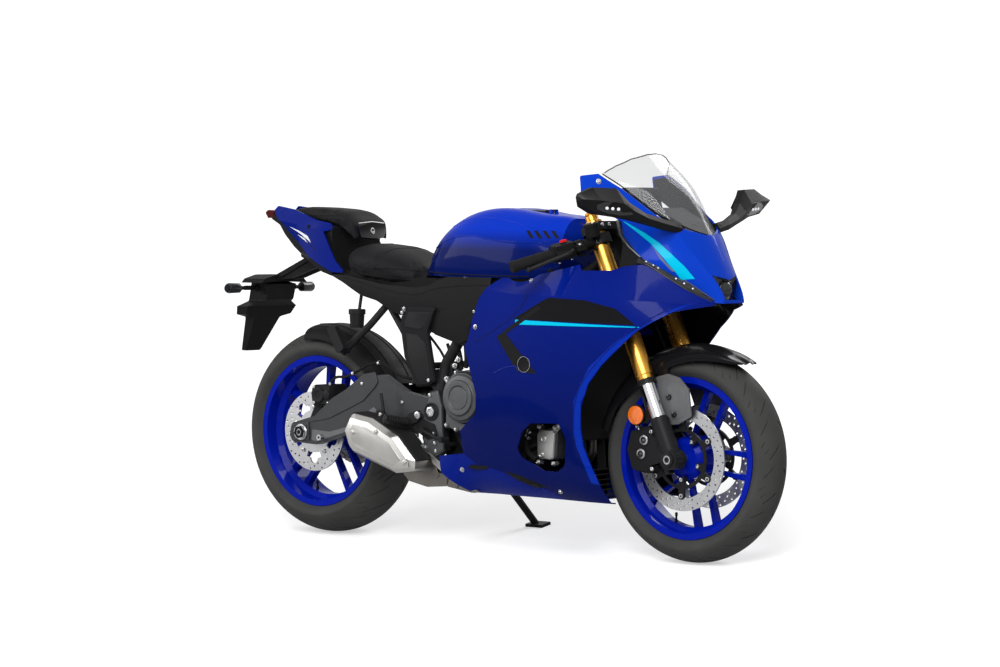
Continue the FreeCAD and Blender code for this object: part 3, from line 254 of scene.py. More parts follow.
print("finishes")
tones = {
    # The cowl's blue is a lighter copy of the body's blue, for where light falls on the cowl: painted highlight
    # The tank's blue is a lighter copy of the body's blue, for its top where light falls: painted highlight
    "blue": (0.0003, 0.0085, 0.165), "cowlBluePaintedLight": (0.001, 0.036, 0.42), "tankBluePaintedLight": (0.001, 0.026, 0.40),
    # The arch band's blue is a lighter copy of the body's blue: painted highlight
    "wheelBlue": (0.0006, 0.009, 0.28), "archBluePaintedHighlight": (0.001, 0.026, 0.36), "cyan": (0.0, 0.42, 0.62),
    "slimGrey": (0.11, 0.13, 0.18), "armGrey": (0.052, 0.053, 0.056), "black": (0.006, 0.006, 0.007),
    "plastic": (0.0085, 0.0085, 0.009), "vinyl": (0.011, 0.011, 0.012), "rubber": (0.045, 0.045, 0.044),
    # The last, plain black, is what the painted shade of the fairing and the tank is mixed towards
    "gold": (0.72, 0.36, 0.06), "steel": (0.52, 0.52, 0.53), "paintedShade": (0, 0, 0),
}
# Areas of other colours in side view, and the arch band of painted highlight, all convex; left and right or inner and
# outer lines bound a band
areas = {
    "graphic": [(917, 685), (1019, 737), (1049, 750), (1170, 745), (1263, 723), (1329, 677)],
    "stripe": [(925, 684), (925, 670), (1338, 671), (1338, 673)],
    "archInner": [(1422, 727), (1368, 687), (1271, 629), (1187, 556), (1135, 457), (1133, 380), (1141, 330),
                  (1170, 272), (1190, 226)],
    "archOuter": [(1460, 742), (1418, 716), (1332, 661), (1227, 562), (1160, 456), (1158, 380), (1166, 329),
                  (1196, 272), (1218, 222)],
    "cheekLeft": [(1244, 969), (1291, 936), (1330, 907), (1369, 867), (1399, 829), (1412, 806)],
    "cheekRight": [(1252, 967), (1309, 937), (1353, 909), (1389, 877), (1422, 844), (1448, 809)],
    "slim": [(1336, 899), (1399, 829), (1391, 829), (1362, 862)],
}


def finish(name, colour, metal=0.0, rough=0.5, vary=0.12, spots=30.0, grain=600.0, depth=0.00004, coat=0.0,
           spread=0.08, stretch=None):
    # A plain finish: colour and roughness that vary a little, and a fine surface grain
    sheet = Sheet(name)
    patch = sheet.noise(spots)
    dark = tuple(c * (1 - vary) for c in colour)
    light = tuple(min(1, c * (1 + vary)) for c in colour)
    values = {"Base Color": sheet.mix(patch, dark, light), "Metallic": metal,
              "Roughness": patch * spread + (rough - spread / 2), "Specular IOR Level": 0.5 if metal > 0.9 else 0.05,
              "Normal": sheet.bump(sheet.noise(grain, 2.0, stretch), 0.35, depth)}
    if coat:
        values["Coat Weight"] = coat
        values["Coat Roughness"] = 0.04
    return sheet.shade(values)


def paint(name, colour, marks=None):
    # Gloss paint with fine flakes and a clear coat; marks adds areas of other colours, and on the fairing and the
    # tank also painted shade and painted highlight
    sheet = Sheet(name)
    sparkle = sheet.add("ShaderNodeSeparateColor", values={"Color": sheet.cells(1600.0, "Color")})
    tint = sheet.mix(sparkle, tuple(c * 0.82 for c in colour), tuple(min(1, c * 1.12 + 0.0006) for c in colour))
    if marks:
        tint = marks(sheet, tint)
    return sheet.shade({"Base Color": tint, "Metallic": 0.0, "Roughness": sparkle * 0.05 + 0.24, "Coat Weight": 0.4,
                        "Coat Roughness": 0.03, "Coat IOR": 1.2, "Specular IOR Level": 0.02,
                        "Normal": sheet.bump(sheet.noise(90.0, 1.0), 0.04, 0.0001)})


def lens(name, colour, glow):
    # Moulded plastic lens with fine prisms; glow gives it light of its own, which on the side reflectors is a painted
    # glint
    sheet = Sheet(name)
    prisms = sheet.cells(260.0, "Distance")
    tint = sheet.mix(prisms, colour, tuple(c * 0.6 for c in colour))
    return sheet.shade({"Base Color": tint, "Roughness": prisms * 0.1 + 0.1, "Coat Weight": 1.0,
                        "Normal": sheet.bump(prisms, 0.5, 0.0006), "Emission Color": tint, "Emission Strength": glow})


def clearSheet(name):
    sheet = Sheet(name)
    tint = sheet.mix(sheet.noise(6.0), (0.16, 0.165, 0.175), (0.20, 0.205, 0.215))
    return sheet.shade({"Base Color": tint, "Roughness": sheet.noise(40) * 0.02 + 0.02, "Alpha": 0.2,
                        "Coat Weight": 0.3})


def inside(x, z, corners, soft=1.2):
    # 1 inside a convex outline of (x, z) corners, in either turning sense
    edges = list(zip(corners, corners[1:] + corners[:1]))
    sense = 1 if sum(a[0] * b[1] - b[0] * a[1] for a, b in edges) > 0 else -1
    nearest = None
    for (x0, z0), (x1, z1) in edges:
        length = math.hypot(x1 - x0, z1 - z0)
        nx = -sense * (z1 - z0) / length
        nz = sense * (x1 - x0) / length
        reach = x * nx + z * nz - (x0 * nx + z0 * nz)
        nearest = reach if nearest is None else nearest.math("MINIMUM", reach)
    return nearest.over(0.0, soft)


def between(x, z, first, second, soft):
    # 1 between two lines of as many points, taken one four-sided piece at a time
    band = None
    for corners in zip(first, second, second[1:], first[1:]):
        share = inside(x, z, list(corners), soft)
        band = share if band is None else band.math("MAXIMUM", share)
    return band


def fairingMarksAndLight(sheet, tint):
    # Graphic, stripe and bare inner faces, with painted shade and a painted highlight on the blue
    x, y, z = sheet.along(0), sheet.along(1), sheet.along(2)
    # Painted shade: the blue darkens towards the bottom of the fairing, where the lower fairing lies in shade
    tint = sheet.mix(z.over(560, 420) * 0.55 + 0.45, tones["paintedShade"], tint)
    # Painted highlight: a lighter band on the facet inside the arch crease, where it catches the light
    tint = sheet.mix(between(x, z, areas["archInner"], areas["archOuter"], 3.0) * 0.7, tint, tones["archBluePaintedHighlight"])
    tint = sheet.mix(inside(x, z, areas["graphic"]), tint, tones["black"])
    tint = sheet.mix(inside(x, z, areas["stripe"]), tint, tones["cyan"])
    # The inner faces are bare black plastic
    normal = sheet.add("ShaderNodeNewGeometry", out="Normal")
    outward = sheet.add("ShaderNodeSeparateXYZ", values={"Vector": normal}, out=1) * y.math("SIGN")
    return sheet.mix(outward.over(-0.3, 0.1), tones["black"], tint)


def tankLightAndShade(sheet, tint):
    # Painted shade and painted highlight: the flanks darker than the top, with the change at the crease
    return sheet.mix(sheet.along(2).over(912, 60) * 0.8 + 0.2, tones["paintedShade"], tint)


def cowlMarks(sheet, tint):
    x, y, z = sheet.along(0), sheet.along(1), sheet.along(2)
    wide = y.math("ABSOLUTE").over(70, 2)
    tint = sheet.mix(inside(x, z, areas["slim"]) * wide, tint, tones["slimGrey"])
    band = between(x, z, areas["cheekLeft"], areas["cheekRight"], 0.6)
    return sheet.mix(band * wide, tint, tones["cyan"])


finishes = {
    # Those of the CAD solids
    "tyre": finish("tyreRubber", tones["rubber"], rough=0.62, vary=0.25, spots=12, grain=900, depth=0.00008),
    "wheel_blue": paint("wheelBlue", tones["wheelBlue"]),
    "disc_steel": finish("discSteel", tones["steel"], metal=1.0, rough=0.3, vary=0.08, grain=300, depth=0.00003),
    "dark_steel": finish("darkSteel", (0.16, 0.16, 0.17), metal=1.0, rough=0.4),
    "black_metal": finish("blackMetal", (0.017, 0.017, 0.018), metal=0.3, rough=0.42, grain=900),
    "stanchion_chrome": finish("chrome", (0.82, 0.82, 0.84), metal=1.0, rough=0.07, vary=0.03, spread=0.02,
                               depth=0.00001),
    "gold_anodised": finish("goldAnodised", tones["gold"], metal=1.0, rough=0.28, vary=0.06, spread=0.04, depth=0.0),
    "axle_steel": finish("axleSteel", (0.5, 0.5, 0.51), metal=1.0, rough=0.3),
    "grip_rubber": finish("gripRubber", (0.012, 0.012, 0.012), rough=0.7, vary=0.2),
    "gloss_black": paint("glossBlack", tones["black"]),
    "stay_grey": finish("stayGrey", (0.12, 0.122, 0.126), rough=0.42, metal=0.3),
    "arm_grey": finish("armGrey", tones["armGrey"], metal=0.55, rough=0.4, grain=500),
    "engine_black": finish("engineBlack", (0.02, 0.02, 0.021), metal=0.3, rough=0.55, grain=350, depth=0.0002),
    "cover_grey": finish("coverGrey", (0.085, 0.087, 0.09), metal=0.6, rough=0.42, grain=450, depth=0.0001),
    "silencer_steel": finish("silencerSteel", (0.47, 0.46, 0.44), metal=1.0, rough=0.36, vary=0.06,
                             stretch=(0.04, 1, 1)),
    "pipe_steel": finish("pipeSteel", (0.14, 0.13, 0.12), metal=1.0, rough=0.42, vary=0.3, spots=14),
    "seat_vinyl": finish("seatVinyl", tones["vinyl"], rough=0.55, vary=0.2, grain=1400, depth=0.00025),
    "blue_paint": paint("bluePaint", tones["blue"]),
    "tank_blue": paint("tankBluePaintedLight", tones["tankBluePaintedLight"], tankLightAndShade),
    "black_plastic": finish("blackPlastic", tones["plastic"], rough=0.5, vary=0.15, grain=1100, depth=0.00012),
    "lamp_red": finish("lampRed", (0.05, 0.0012, 0.0012), rough=0.35),
    "lamp_glass": finish("lampGlass", (0.008, 0.008, 0.009), rough=0.1, coat=0.8),
    "screen_clear": clearSheet("clearScreen"),
    # Those of added pieces alone
    "chain_gold": finish("chainPlate", (0.30, 0.27, 0.22), metal=1.0, rough=0.38),
    # The amber lens is on the side reflectors; its glow is a painted glint, as a reflector gives no light of its own
    "amber_lens": lens("amberLens", (0.80, 0.16, 0.01), 0.15),
    "clear_lens": lens("clearLens", (0.55, 0.57, 0.60), 0.1),
    "led_white": lens("ledWhite", (0.80, 0.82, 0.85), 0.5),
    "red_lens": finish("redLens", (0.09, 0.002, 0.002), rough=0.3),
    "smoked_lens": finish("smokedLens", (0.02, 0.021, 0.023), rough=0.1, coat=0.5, depth=0.0),
    "mirror_glass": finish("mirrorGlass", (0.75, 0.77, 0.80), metal=1.0, rough=0.04, vary=0.02, spread=0.01,
                           depth=0.0),
    "red_plastic": finish("redPlastic", (0.55, 0.01, 0.01), rough=0.4),
    "white_paint": paint("whitePaint", (0.75, 0.76, 0.78)),
    "silver_cover": finish("silverCover", (0.46, 0.46, 0.45), metal=0.9, rough=0.34, grain=500, depth=0.00006),
    "piano_black": finish("pianoBlack", (0.004, 0.004, 0.005), rough=0.12, coat=1.0, vary=0.05, depth=0.0),
    "brace_black": finish("bracePanel", (0.016, 0.016, 0.017), rough=0.45, grain=900),
}
# Nodes whose looks differ from the rest of their finish
ownLooks = {
    "side_fairings": paint("sidePaint", tones["blue"], fairingMarksAndLight),
    # The cowl's base blue carries painted highlight; its marks are its own graphics
    "nose_cowl": paint("cowlPaint", tones["cowlBluePaintedLight"], cowlMarks),
    "frame_covers": finish("braceBlack", (0.010, 0.010, 0.011), rough=0.5, grain=900),
}
for entry in frame["record"]["subparts"]:
    mesh = nodes[entry["node"]].data
    mesh.materials.clear()
    mesh.materials.append(ownLooks.get(entry["node"], finishes[entry["material_slot"]]))

print("tools for the added pieces")


def across(side=1):
    return Vector((0, side, 0))


class Shape:
    # Gathers faces in bike millimetres and makes one piece of them
    def __init__(self):
        self.points = []
        self.faces = []
        self.tints = []

    def add(self, points, faces, tint=0):
        start = len(self.points)
        self.points += [Vector(p) for p in points]
        self.faces += [[start + i for i in face] for face in faces]
        self.tints += [tint] * len(faces)

    def turned(self, profile, centre, axis, steps=32, tint=0, hexed=(), close=False):
        # Profile of (along, radius); the rows named in hexed are six-sided
        centre = Vector(centre)
        axis = Vector(axis).normalized()
        side = axis.cross(Vector((0.31, 0.17, 0.93))).normalized()
        lift = axis.cross(side)
        rows = []
        for k, (along, radius) in enumerate(profile):
            row = []
            for i in range(steps):
                turn = 2 * math.pi * i / steps
                reach = radius
                if k in hexed:
                    off = (turn + math.pi / 6) % (math.pi / 3) - math.pi / 6
                    reach = radius * math.cos(math.pi / 6) / math.cos(off)
                row.append(centre + axis * along + (side * math.cos(turn) + lift * math.sin(turn)) * reach)
            rows.append(row)
        self.grid(rows, tint, wrap=True, loop=close)
        if not close:
            for row, turned in ((rows[0], True), (rows[-1], False)):
                cap = list(range(steps))
                self.add(row, [cap[::-1] if turned else cap], tint)

    def grid(self, rows, tint=0, wrap=False, loop=False):
        count = len(rows[0])
        points = [p for row in rows for p in row]
        faces = []
        for r in range(len(rows) if loop else len(rows) - 1):
            below = r * count
            above = (r + 1) % len(rows) * count
            for i in range(count if wrap else count - 1):
                j = (i + 1) % count
                faces.append((below + i, below + j, above + j, above + i))
        self.add(points, faces, tint)

    def slab(self, outline, push, tint=0, shrink=1.0):
        # A flat outline given a depth, the far face drawn in by shrink
        near = [Vector(p) for p in outline]
        middle = sum(near, Vector()) / len(near)
        far = [middle + (p - middle) * shrink + Vector(push) for p in near]
        count = len(near)
        area = sum(((near[i] - middle).cross(near[(i + 1) % count] - middle) for i in range(count)), Vector())
        if area.dot(Vector(push)) > 0:
            near.reverse()
            far.reverse()
        faces = [tuple(range(count)), tuple(range(2 * count - 1, count - 1, -1))]
        faces += [(i, count + i, count + (i + 1) % count, (i + 1) % count) for i in range(count)]
        self.add(near + far, faces, tint)

    def plate(self, outline, y0, y1, tint=0, shrink=1.0):
        # Side-view outline (x, z) given a width
        self.slab([(x, y0, z) for x, z in outline], (0, y1 - y0, 0), tint, shrink)

    def tube(self, path, radius, steps=12, tint=0):
        path = [Vector(p) for p in path]
        rows = []
        side = None
        for i, here in enumerate(path):
            ahead = (path[min(i + 1, len(path) - 1)] - path[max(i - 1, 0)]).normalized()
            if side is None:
                side = ahead.cross(Vector((0.21, 0.87, 0.44))).normalized()
            side = (side - ahead * side.dot(ahead)).normalized()
            lift = ahead.cross(side)
            turns = [2 * math.pi * k / steps for k in range(steps)]
            rows.append([here + (side * math.cos(turn) + lift * math.sin(turn)) * radius for turn in turns])
        self.grid(rows, tint, wrap=True)
        self.add(rows[0], [tuple(range(steps))[::-1]], tint)
        self.add(rows[-1], [tuple(range(steps))], tint)

    def hose(self, points, radius, tint=0, bends=8, steps=14):
        self.tube(smoothPath(points, bends), radius, steps, tint)

    def bolt(self, place, axis, radius=5.0, tint=0):
        # Button head with a hexagon socket
        r = radius
        self.turned([(-1.0, r), (0.35 * r, r), (0.7 * r, 0.86 * r), (0.8 * r, 0.6 * r), (0.8 * r, 0.5 * r),
                     (0.25 * r, 0.46 * r)], place, axis, 18, tint, hexed=(4, 5))

    def bolts(self, spots, y, side=-1, radius=5.0):
        # Bolts at (x, z) spots of a side face
        for x, z in spots:
            self.bolt((x, y, z), across(side), radius)

    def object(self, name, looks=(), bend=35):
        mesh = bpy.data.meshes.new(name)
        mesh.from_pydata([bikeToRow @ p for p in self.points], [], self.faces)
        for look in looks:
            mesh.materials.append(finishes[look])
        mesh.polygons.foreach_set("material_index", self.tints)
        mesh.validate()
        piece = bpy.data.objects.new(name, mesh)
        scene.collection.objects.link(piece)
        tidyMesh(mesh, bend)
        return piece

    def made(self, name, body, looks, bend=35, bevel=0.0):
        piece = self.object(name, looks, bend)
        if bevel:
            edge = piece.modifiers.new("edge", "BEVEL")
            edge.width = bevel / 1000
            edge.segments = 2
            edge.angle_limit = math.radians(bend)
        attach(piece, body)
        return piece


def tidyMesh(mesh, bend=35):
    work = bmesh.new()
    work.from_mesh(mesh)
    bmesh.ops.remove_doubles(work, verts=work.verts, dist=0.00001)
    work.to_mesh(mesh)
    work.free()
    mesh.polygons.foreach_set("use_smooth", [True] * len(mesh.polygons))
    mesh.set_sharp_from_angle(angle=math.radians(bend))


def applied(piece):
    # The piece's mesh with its modifiers worked in
    bpy.context.view_layer.update()
    mesh = bpy.data.meshes.new_from_object(piece.evaluated_get(bpy.context.evaluated_depsgraph_get()))
    piece.modifiers.clear()
    piece.data = mesh
    return mesh


def smoothPath(points, steps=10):
    # Even curve through the points
    points = [Vector(p) for p in points]
    path = []
    for i in range(len(points) - 1):
        p0, p1, p2, p3 = points[max(i - 1, 0)], points[i], points[i + 1], points[min(i + 2, len(points) - 1)]
        for k in range(steps):
            t = k / steps
            path.append(0.5 * (2 * p1 + (p2 - p0) * t + (2 * p0 - 5 * p1 + 4 * p2 - p3) * t * t
                               + (3 * p1 - p0 - 3 * p2 + p3) * t ** 3))
    return path + [points[-1]]


def spoke(share):
    # Directions outwards and onwards at a share of a turn round an axle, from the top forwards
    turn = 2 * math.pi * share
    return Vector((math.sin(turn), 0, math.cos(turn))), Vector((math.cos(turn), 0, -math.sin(turn)))


def skinOf(piece):
    mesh = piece.data
    return BVHTree.FromPolygons([rowToBike @ v.co for v in mesh.vertices], [list(p.vertices) for p in mesh.polygons])


def onSkin(skin, x, z, side=-1):
    # Where a line from the side meets the skin, and which way the skin faces there
    spot, facing = skin.ray_cast(Vector((x, side * 420, z)), Vector((0, -side, 0)))[:2]
    if spot is None:
        return None, None
    return spot, facing if facing.y * side > 0 else -facing


def bead(shape, skin, spots, side, radius, lift=0.0):
    # A round bead over (x, z) spots of the skin
    path = [spot + facing * lift for spot, facing in (onSkin(skin, x, z, side) for x, z in spots) if spot is not None]
    if len(path) > 2:
        shape.tube(path, radius, 8)


def ribbon(shape, skin, line, side, radius=1.2, lift=0.0):
    # A bead under a smooth line through (x, z) points
    bead(shape, skin, [(p.x, p.z) for p in smoothPath([(x, 0, z) for x, z in line], 8)], side, radius, lift)


def boltsOn(shape, skin, spots, side, radius=6.0):
    # Button bolts on a skin, each with a washer under its head
    for x, z in spots:
        spot, facing = onSkin(skin, x, z, side)
        if spot is not None:
            shape.turned([(-1, radius * 1.35), (0.8, radius * 1.35), (1.1, radius * 1.1)], spot, facing, 22)
            shape.bolt(spot + facing * 0.9, facing, radius)


def draped(shape, skin, corners, side=-1, lift=0.5, thick=1.5, cell=9.0, tint=0):
    # A thin panel of (x, z) corners laid on the skin
    work = bmesh.new()
    face = work.faces.new([work.verts.new((x, 0, z)) for x, z in corners])
    bmesh.ops.triangulate(work, faces=[face])
    for _ in range(7):
        long = [e for e in work.edges if e.calc_length() > cell]
        if not long:
            break
        bmesh.ops.subdivide_edges(work, edges=long, cuts=1)
        bmesh.ops.triangulate(work, faces=work.faces[:])
    outer, inner = [], []
    for vert in work.verts:
        spot, facing = onSkin(skin, vert.co.x, vert.co.z, side)
        if spot is None:
            near, facing = skin.find_nearest(Vector((vert.co.x, side * 230, vert.co.z)))[:2]
            spot = Vector((vert.co.x, near.y, vert.co.z))
            facing = facing if facing.y * side > 0 else -facing
        outer.append(spot + facing * lift)
        inner.append(spot + facing * (lift - thick))
    work.verts.index_update()
    count = len(outer)
    faces = []
    for f in work.faces:
        loop = [v.index for v in f.verts]
        a, b, c = (outer[i] for i in loop[:3])
        if (b - a).cross(c - a).y * side < 0:
            loop.reverse()
        faces.append(loop)
        faces.append([count + i for i in loop[::-1]])
    rim = {}
    for loop in faces[::2]:
        for i, a in enumerate(loop):
            rim[(a, loop[(i + 1) % len(loop)])] = True
    faces += [(b, a, count + a, count + b) for a, b in rim if (b, a) not in rim]
    shape.add(outer + inner, faces, tint)
    work.free()


print("tyres with their sipes")
tread = {"pitches": 14, "depth": 3.6, "slant": 0.75, "shoulderSlant": 0.010,
         # Each sipe: place in the pitch, inner and outer distance from the middle as a share, half width in mm
         "sipes": ((0.08, 0.10, 0.62, 2.6), (0.36, 0.38, 0.86, 2.4), (0.60, 0.70, 0.95, 2.0),
                   (0.84, 0.60, 0.80, 2.0))}


def tyre(name, node, body, hub, radius, width, rimWidth):
    half = width / 2
    seat = rimWidth / 2 - 4
    shoulder = radius - 0.56 * half
    widest = (shoulder + wheels["flange"]) / 2 + 2
    edge = half - 1.5
    rise = radius - shoulder
    bow = (edge * edge + rise * rise) / (2 * rise)
    reach = math.asin(edge / bow)
    crown = []
    rows = 2 * round(width / 4.4) + 1
    for i in range(rows):
        turn = -reach + 2 * reach * i / (rows - 1)
        crown.append((bow * math.sin(turn), radius - bow + bow * math.cos(turn), turn / reach))
    wall = []
    for k in range(1, 11):
        t = k / 10
        blend = [(1 - t) ** 2, 2 * t * (1 - t), t * t]
        bulge = 2 * (half - 0.2) - 0.5 * (edge + seat)
        tall = 2 * widest - 0.5 * (shoulder + wheels["flange"])
        wall.append((blend[0] * edge + blend[1] * bulge + blend[2] * seat,
                     blend[0] * shoulder + blend[1] * tall + blend[2] * wheels["flange"]))
    ribs = {2: 0.5, 3: 0.5, 8: 0.8}
    profile = [(-y, r + ribs.get(10 - k, 0), -1.2) for k, (y, r) in enumerate(wall[::-1])] + crown
    profile += [(y, r + ribs.get(k + 1, 0), 1.2) for k, (y, r) in enumerate(wall)]
    pitch = 2 * math.pi * radius / tread["pitches"]
    marks = {}
    for step in range(round(pitch / 6)):
        marks[step * 6 / pitch] = None
    for place, _, _, w in tread["sipes"]:
        for shift in (0, 0.5):
            middle = (place + shift) % 1
            for out in (-w - 0.9, -w, w, w + 0.9):
                marks[(middle + out / pitch) % 1] = None
    columns = sorted(marks)
    shape = Shape()
    lines = []
    for k in range(tread["pitches"]):
        for u in columns:
            line = []
            for y, r, s in profile:
                low = 0.0
                if abs(s) <= 1:
                    for place, first, last, w in tread["sipes"]:
                        off = (u - place - (0.5 if s > 0 else 0) + 0.5) % 1 - 0.5
                        span = min(abs(s) - first, last - abs(s))
                        if abs(off) * pitch < w + 0.05 and span > 0:
                            low = tread["depth"] * min(1, span / 0.06)
                turn = 2 * math.pi * (k + u) / tread["pitches"]
                turn += (tread["slant"] * abs(y) + tread["shoulderSlant"] * y * y) / radius
                line.append(Vector((hub[0] + (r - low) * math.sin(turn), y, hub[1] + (r - low) * math.cos(turn))))
            lines.append(line)
    shape.grid(lines[::-1], loop=True)
    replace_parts(shape.made(name, body, ["tyre"], bend=40), node)


tyre("rearTyre", "rear_tyre", "rear_wheel", (0, wheels["rearAxle"]), wheels["rearRadius"], wheels["rearWidth"],
     wheels["rearRim"])
tyre("frontTyre", "front_tyre", "front_wheel", (wheels["wheelbase"], wheels["frontAxle"]), wheels["frontRadius"],
     wheels["frontWidth"], wheels["frontRim"])

print("brake discs")
frontCentre = Vector((wheels["wheelbase"], 0, wheels["frontAxle"]))
rearCentre = Vector((0, 0, wheels["rearAxle"]))
discs = {
    "frontDiscRings": {
        "node": "front_discs", "body": "front_wheel", "centre": frontCentre, "places": (-66, 66), "thick": 4.5,
        "inner": 113, "outer": 149, "groups": 20, "scallops": 0, "bite": 0,
        "holes": ((120, 0.0), (128, 0.33), (136, 0.66), (143, 0.1)),
    },
    "rearDiscRing": {
        "node": "rear_disc", "body": "rear_wheel", "centre": rearCentre, "places": (-90,), "thick": 5,
        "inner": 84, "outer": 122.5, "groups": 15, "scallops": 5, "bite": 15,
        "holes": ((100, 0.1), (108, 0.45), (116, 0.8)),
    },
}
holeRadius = 3.1


def discPiece(name, look):
    ring = Shape()
    holes = Shape()
    half = look["thick"] / 2
    through = (-half - 3, half + 3)
    for y in look["places"]:
        centre = look["centre"] + across() * y
        ring.turned([(-half, look["inner"]), (-half, look["outer"]), (half, look["outer"]), (half, look["inner"])],
                    centre, across(), 96, close=True)
        for k in range(look["groups"]):
            for radius, shift in look["holes"]:
                spot = centre + spoke((k + shift) / look["groups"])[0] * radius
                holes.turned([(end, holeRadius) for end in through], spot, across(), 10)
        for k in range(look["scallops"]):
            spot = centre + spoke((k + 0.5) / look["scallops"])[0] * look["inner"]
            holes.turned([(end, look["bite"]) for end in through], spot, across(), 20)
    piece = ring.made(name, look["body"], ["disc_steel"])
    cutter = holes.object(name + "Holes")
    carve = piece.modifiers.new("carve", "BOOLEAN")
    carve.operation = "DIFFERENCE"
    carve.solver = "EXACT"
    carve.object = cutter
    applied(piece).set_sharp_from_angle(angle=math.radians(30))
    bpy.data.objects.remove(cutter)
    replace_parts(piece, look["node"])


for name, look in discs.items():
    discPiece(name, look)

# Each arm runs between two (radius, half width) ends
carrier = {
    "frontY": 66, "frontRing": (77, 86), "arms": 6, "arm": ((80, 12), (116, 7.5)), "button": 106,
    "lugs": 5, "lug": ((80, 12), (54, 8)), "boss": 60,
    "rearY": -90, "rearRing": (40, 66), "rearHub": (40, 58), "rearArms": 5, "rearArm": ((60, 15), (86, 24)),
    "rearBolt": 74,
}


def carrierArm(shape, centre, share, ends, half):
    out, run = spoke(share)
    (r0, w0), (r1, w1) = ends
    low = centre - across() * half
    shape.slab([low + out * r0 - run * w0, low + out * r0 + run * w0,
                low + out * r1 + run * w1, low + out * r1 - run * w1], (0, 2 * half, 0))


def ringProfile(low, high, radii):
    inner, outer = radii
    return [(low, inner), (low, outer), (high, outer), (high, inner)]


def carriers():
    front = Shape()
    for side in (-1, 1):
        out = across(side)
        centre = frontCentre + out * carrier["frontY"]
        front.turned(ringProfile(-3, 3, carrier["frontRing"]), centre, out, 60, close=True)
        for k in range(carrier["arms"]):
            share = k / carrier["arms"]
            spot = centre + spoke(share)[0] * carrier["button"]
            carrierArm(front, centre, share, carrier["arm"], 2.6)
            front.turned([(-4, 10), (4.5, 10), (5.5, 8.5), (5.0, 7.6)], spot, out, 28)
            front.turned([(4.0, 7.2), (5.8, 6.4), (6.0, 3.4), (3.4, 3.0)], spot, out, 24, tint=1)
        # Lugs from the ring to the hub's bosses
        for k in range(carrier["lugs"]):
            share = (k + 0.5) / carrier["lugs"]
            spot = centre + spoke(share)[0] * carrier["boss"]
            carrierArm(front, centre, share, carrier["lug"], 2.6)
            front.turned([(-14, 9), (-2, 9)], spot, out, 20)
            front.bolt(spot + out * 2.4, out, 6.5, tint=1)
    front.made("frontCarriers", "front_wheel", ["black_metal", "disc_steel"])
    rear = Shape()
    centre = rearCentre + across() * carrier["rearY"]
    rear.turned(ringProfile(-2.5, 2.5, carrier["rearRing"]), centre, across(-1), 60, close=True)
    rear.turned(ringProfile(-12, -2, carrier["rearHub"]), centre, across(-1), 60, close=True)
    for k in range(carrier["rearArms"]):
        share = k / carrier["rearArms"]
        carrierArm(rear, centre, share, carrier["rearArm"], 2.4)
        rear.bolt(centre + spoke(share)[0] * carrier["rearBolt"] - across() * 2.4, across(-1), 7)
    rear.made("rearCarrier", "rear_wheel", ["disc_steel"])


carriers()

print("seats")
pads = {"voxel": 0.0055, "relax": 4, "pressure": 4.0, "frames": 20, "cap": 0.009, "shrink": 0.002}


def softPad(name, node):
    mesh = nodes[node].data.copy()
    piece = bpy.data.objects.new(name, mesh)
    scene.collection.objects.link(piece)
    tidyMesh(mesh)
    remesh = piece.modifiers.new("remesh", "REMESH")
    remesh.mode = "VOXEL"
    remesh.voxel_size = pads["voxel"]
    applied(piece)
    piece.modifiers.new("relax", "SMOOTH").iterations = pads["relax"]
    mesh = applied(piece)
    for vert, facing in [(v, v.normal.copy()) for v in mesh.vertices]:
        vert.co -= facing * pads["shrink"]
    rest = [v.co.copy() for v in mesh.vertices]
    cloth = piece.modifiers.new("stuffing", "CLOTH")
    cloth.settings.use_pressure = True
    cloth.settings.uniform_pressure_force = pads["pressure"]
    cloth.settings.effector_weights.gravity = 0
    for step in range(1, pads["frames"] + 1):
        scene.frame_set(step)
    mesh = applied(piece)
    scene.frame_set(1)
    for vert, start in zip(mesh.vertices, rest):
        push = vert.co - start
        if push.length > pads["cap"]:
            vert.co = start + push * (pads["cap"] / push.length)
    mesh.materials.clear()
    mesh.materials.append(finishes["seat_vinyl"])
    mesh.polygons.foreach_set("use_smooth", [True] * len(mesh.polygons))
    soft = piece.modifiers.new("soft", "SUBSURF")
    soft.levels = soft.render_levels = 1
    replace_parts(piece, node)
    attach(piece, "root")
    return piece


riderSeat = softPad("riderSeat", "rider_seat")
pillionSeat = softPad("pillionSeat", "pillion_seat")
piping = {
    "rider": [[(162, 858), (190, 834), (240, 822), (330, 820), (405, 815), (436, 812)],
              [(168, 812), (240, 800), (330, 792), (405, 786)]],
    "riderAcross": (205, 300), "pillion": [(x, 976 if x > -60 else 974) for x in range(-148, 108, 10)],
    "lock": (153, 2, 930), "lockAxis": (1, 0, 0.12),
}


def seams():
    shape = Shape()
    rider, pillion = skinOf(riderSeat), skinOf(pillionSeat)
    for side in (-1, 1):
        for line in piping["rider"]:
            ribbon(shape, rider, line, side, 1.5, 0.4)
        bead(shape, pillion, piping["pillion"], side, 1.5, 0.3)
    for x in piping["riderAcross"]:
        hits = (rider.ray_cast(Vector((x, -108 + 9 * k, 1000)), Vector((0, 0, -1)))[:2] for k in range(25))
        shape.tube([spot + facing * 0.2 for spot, facing in hits if spot is not None], 1.2, 8)
    shape.made("seatPiping", "root", ["seat_vinyl"], bend=60)
    lock = Shape()
    lock.turned([(-4, 10), (1.5, 10), (2.5, 8.5), (2.2, 6), (1.2, 5.5)], piping["lock"], piping["lockAxis"], 28)
    lock.slab([(154.4, -1.2, 926), (154.4, 5.2, 926), (154.4, 5.2, 927.2), (154.4, -1.2, 927.2)], (1.0, 0, 0))
    lock.made("seatLock", "root", ["axle_steel"])


seams()

print("drive chain")
drive = {"pitch": 15.875, "y": 105, "rear": (0, 312), "rearPitch": 104, "front": (622, 400), "frontPitch": 40,
         "teeth": 41, "toothFoot": 101, "spotRadius": 66, "spots": 5}


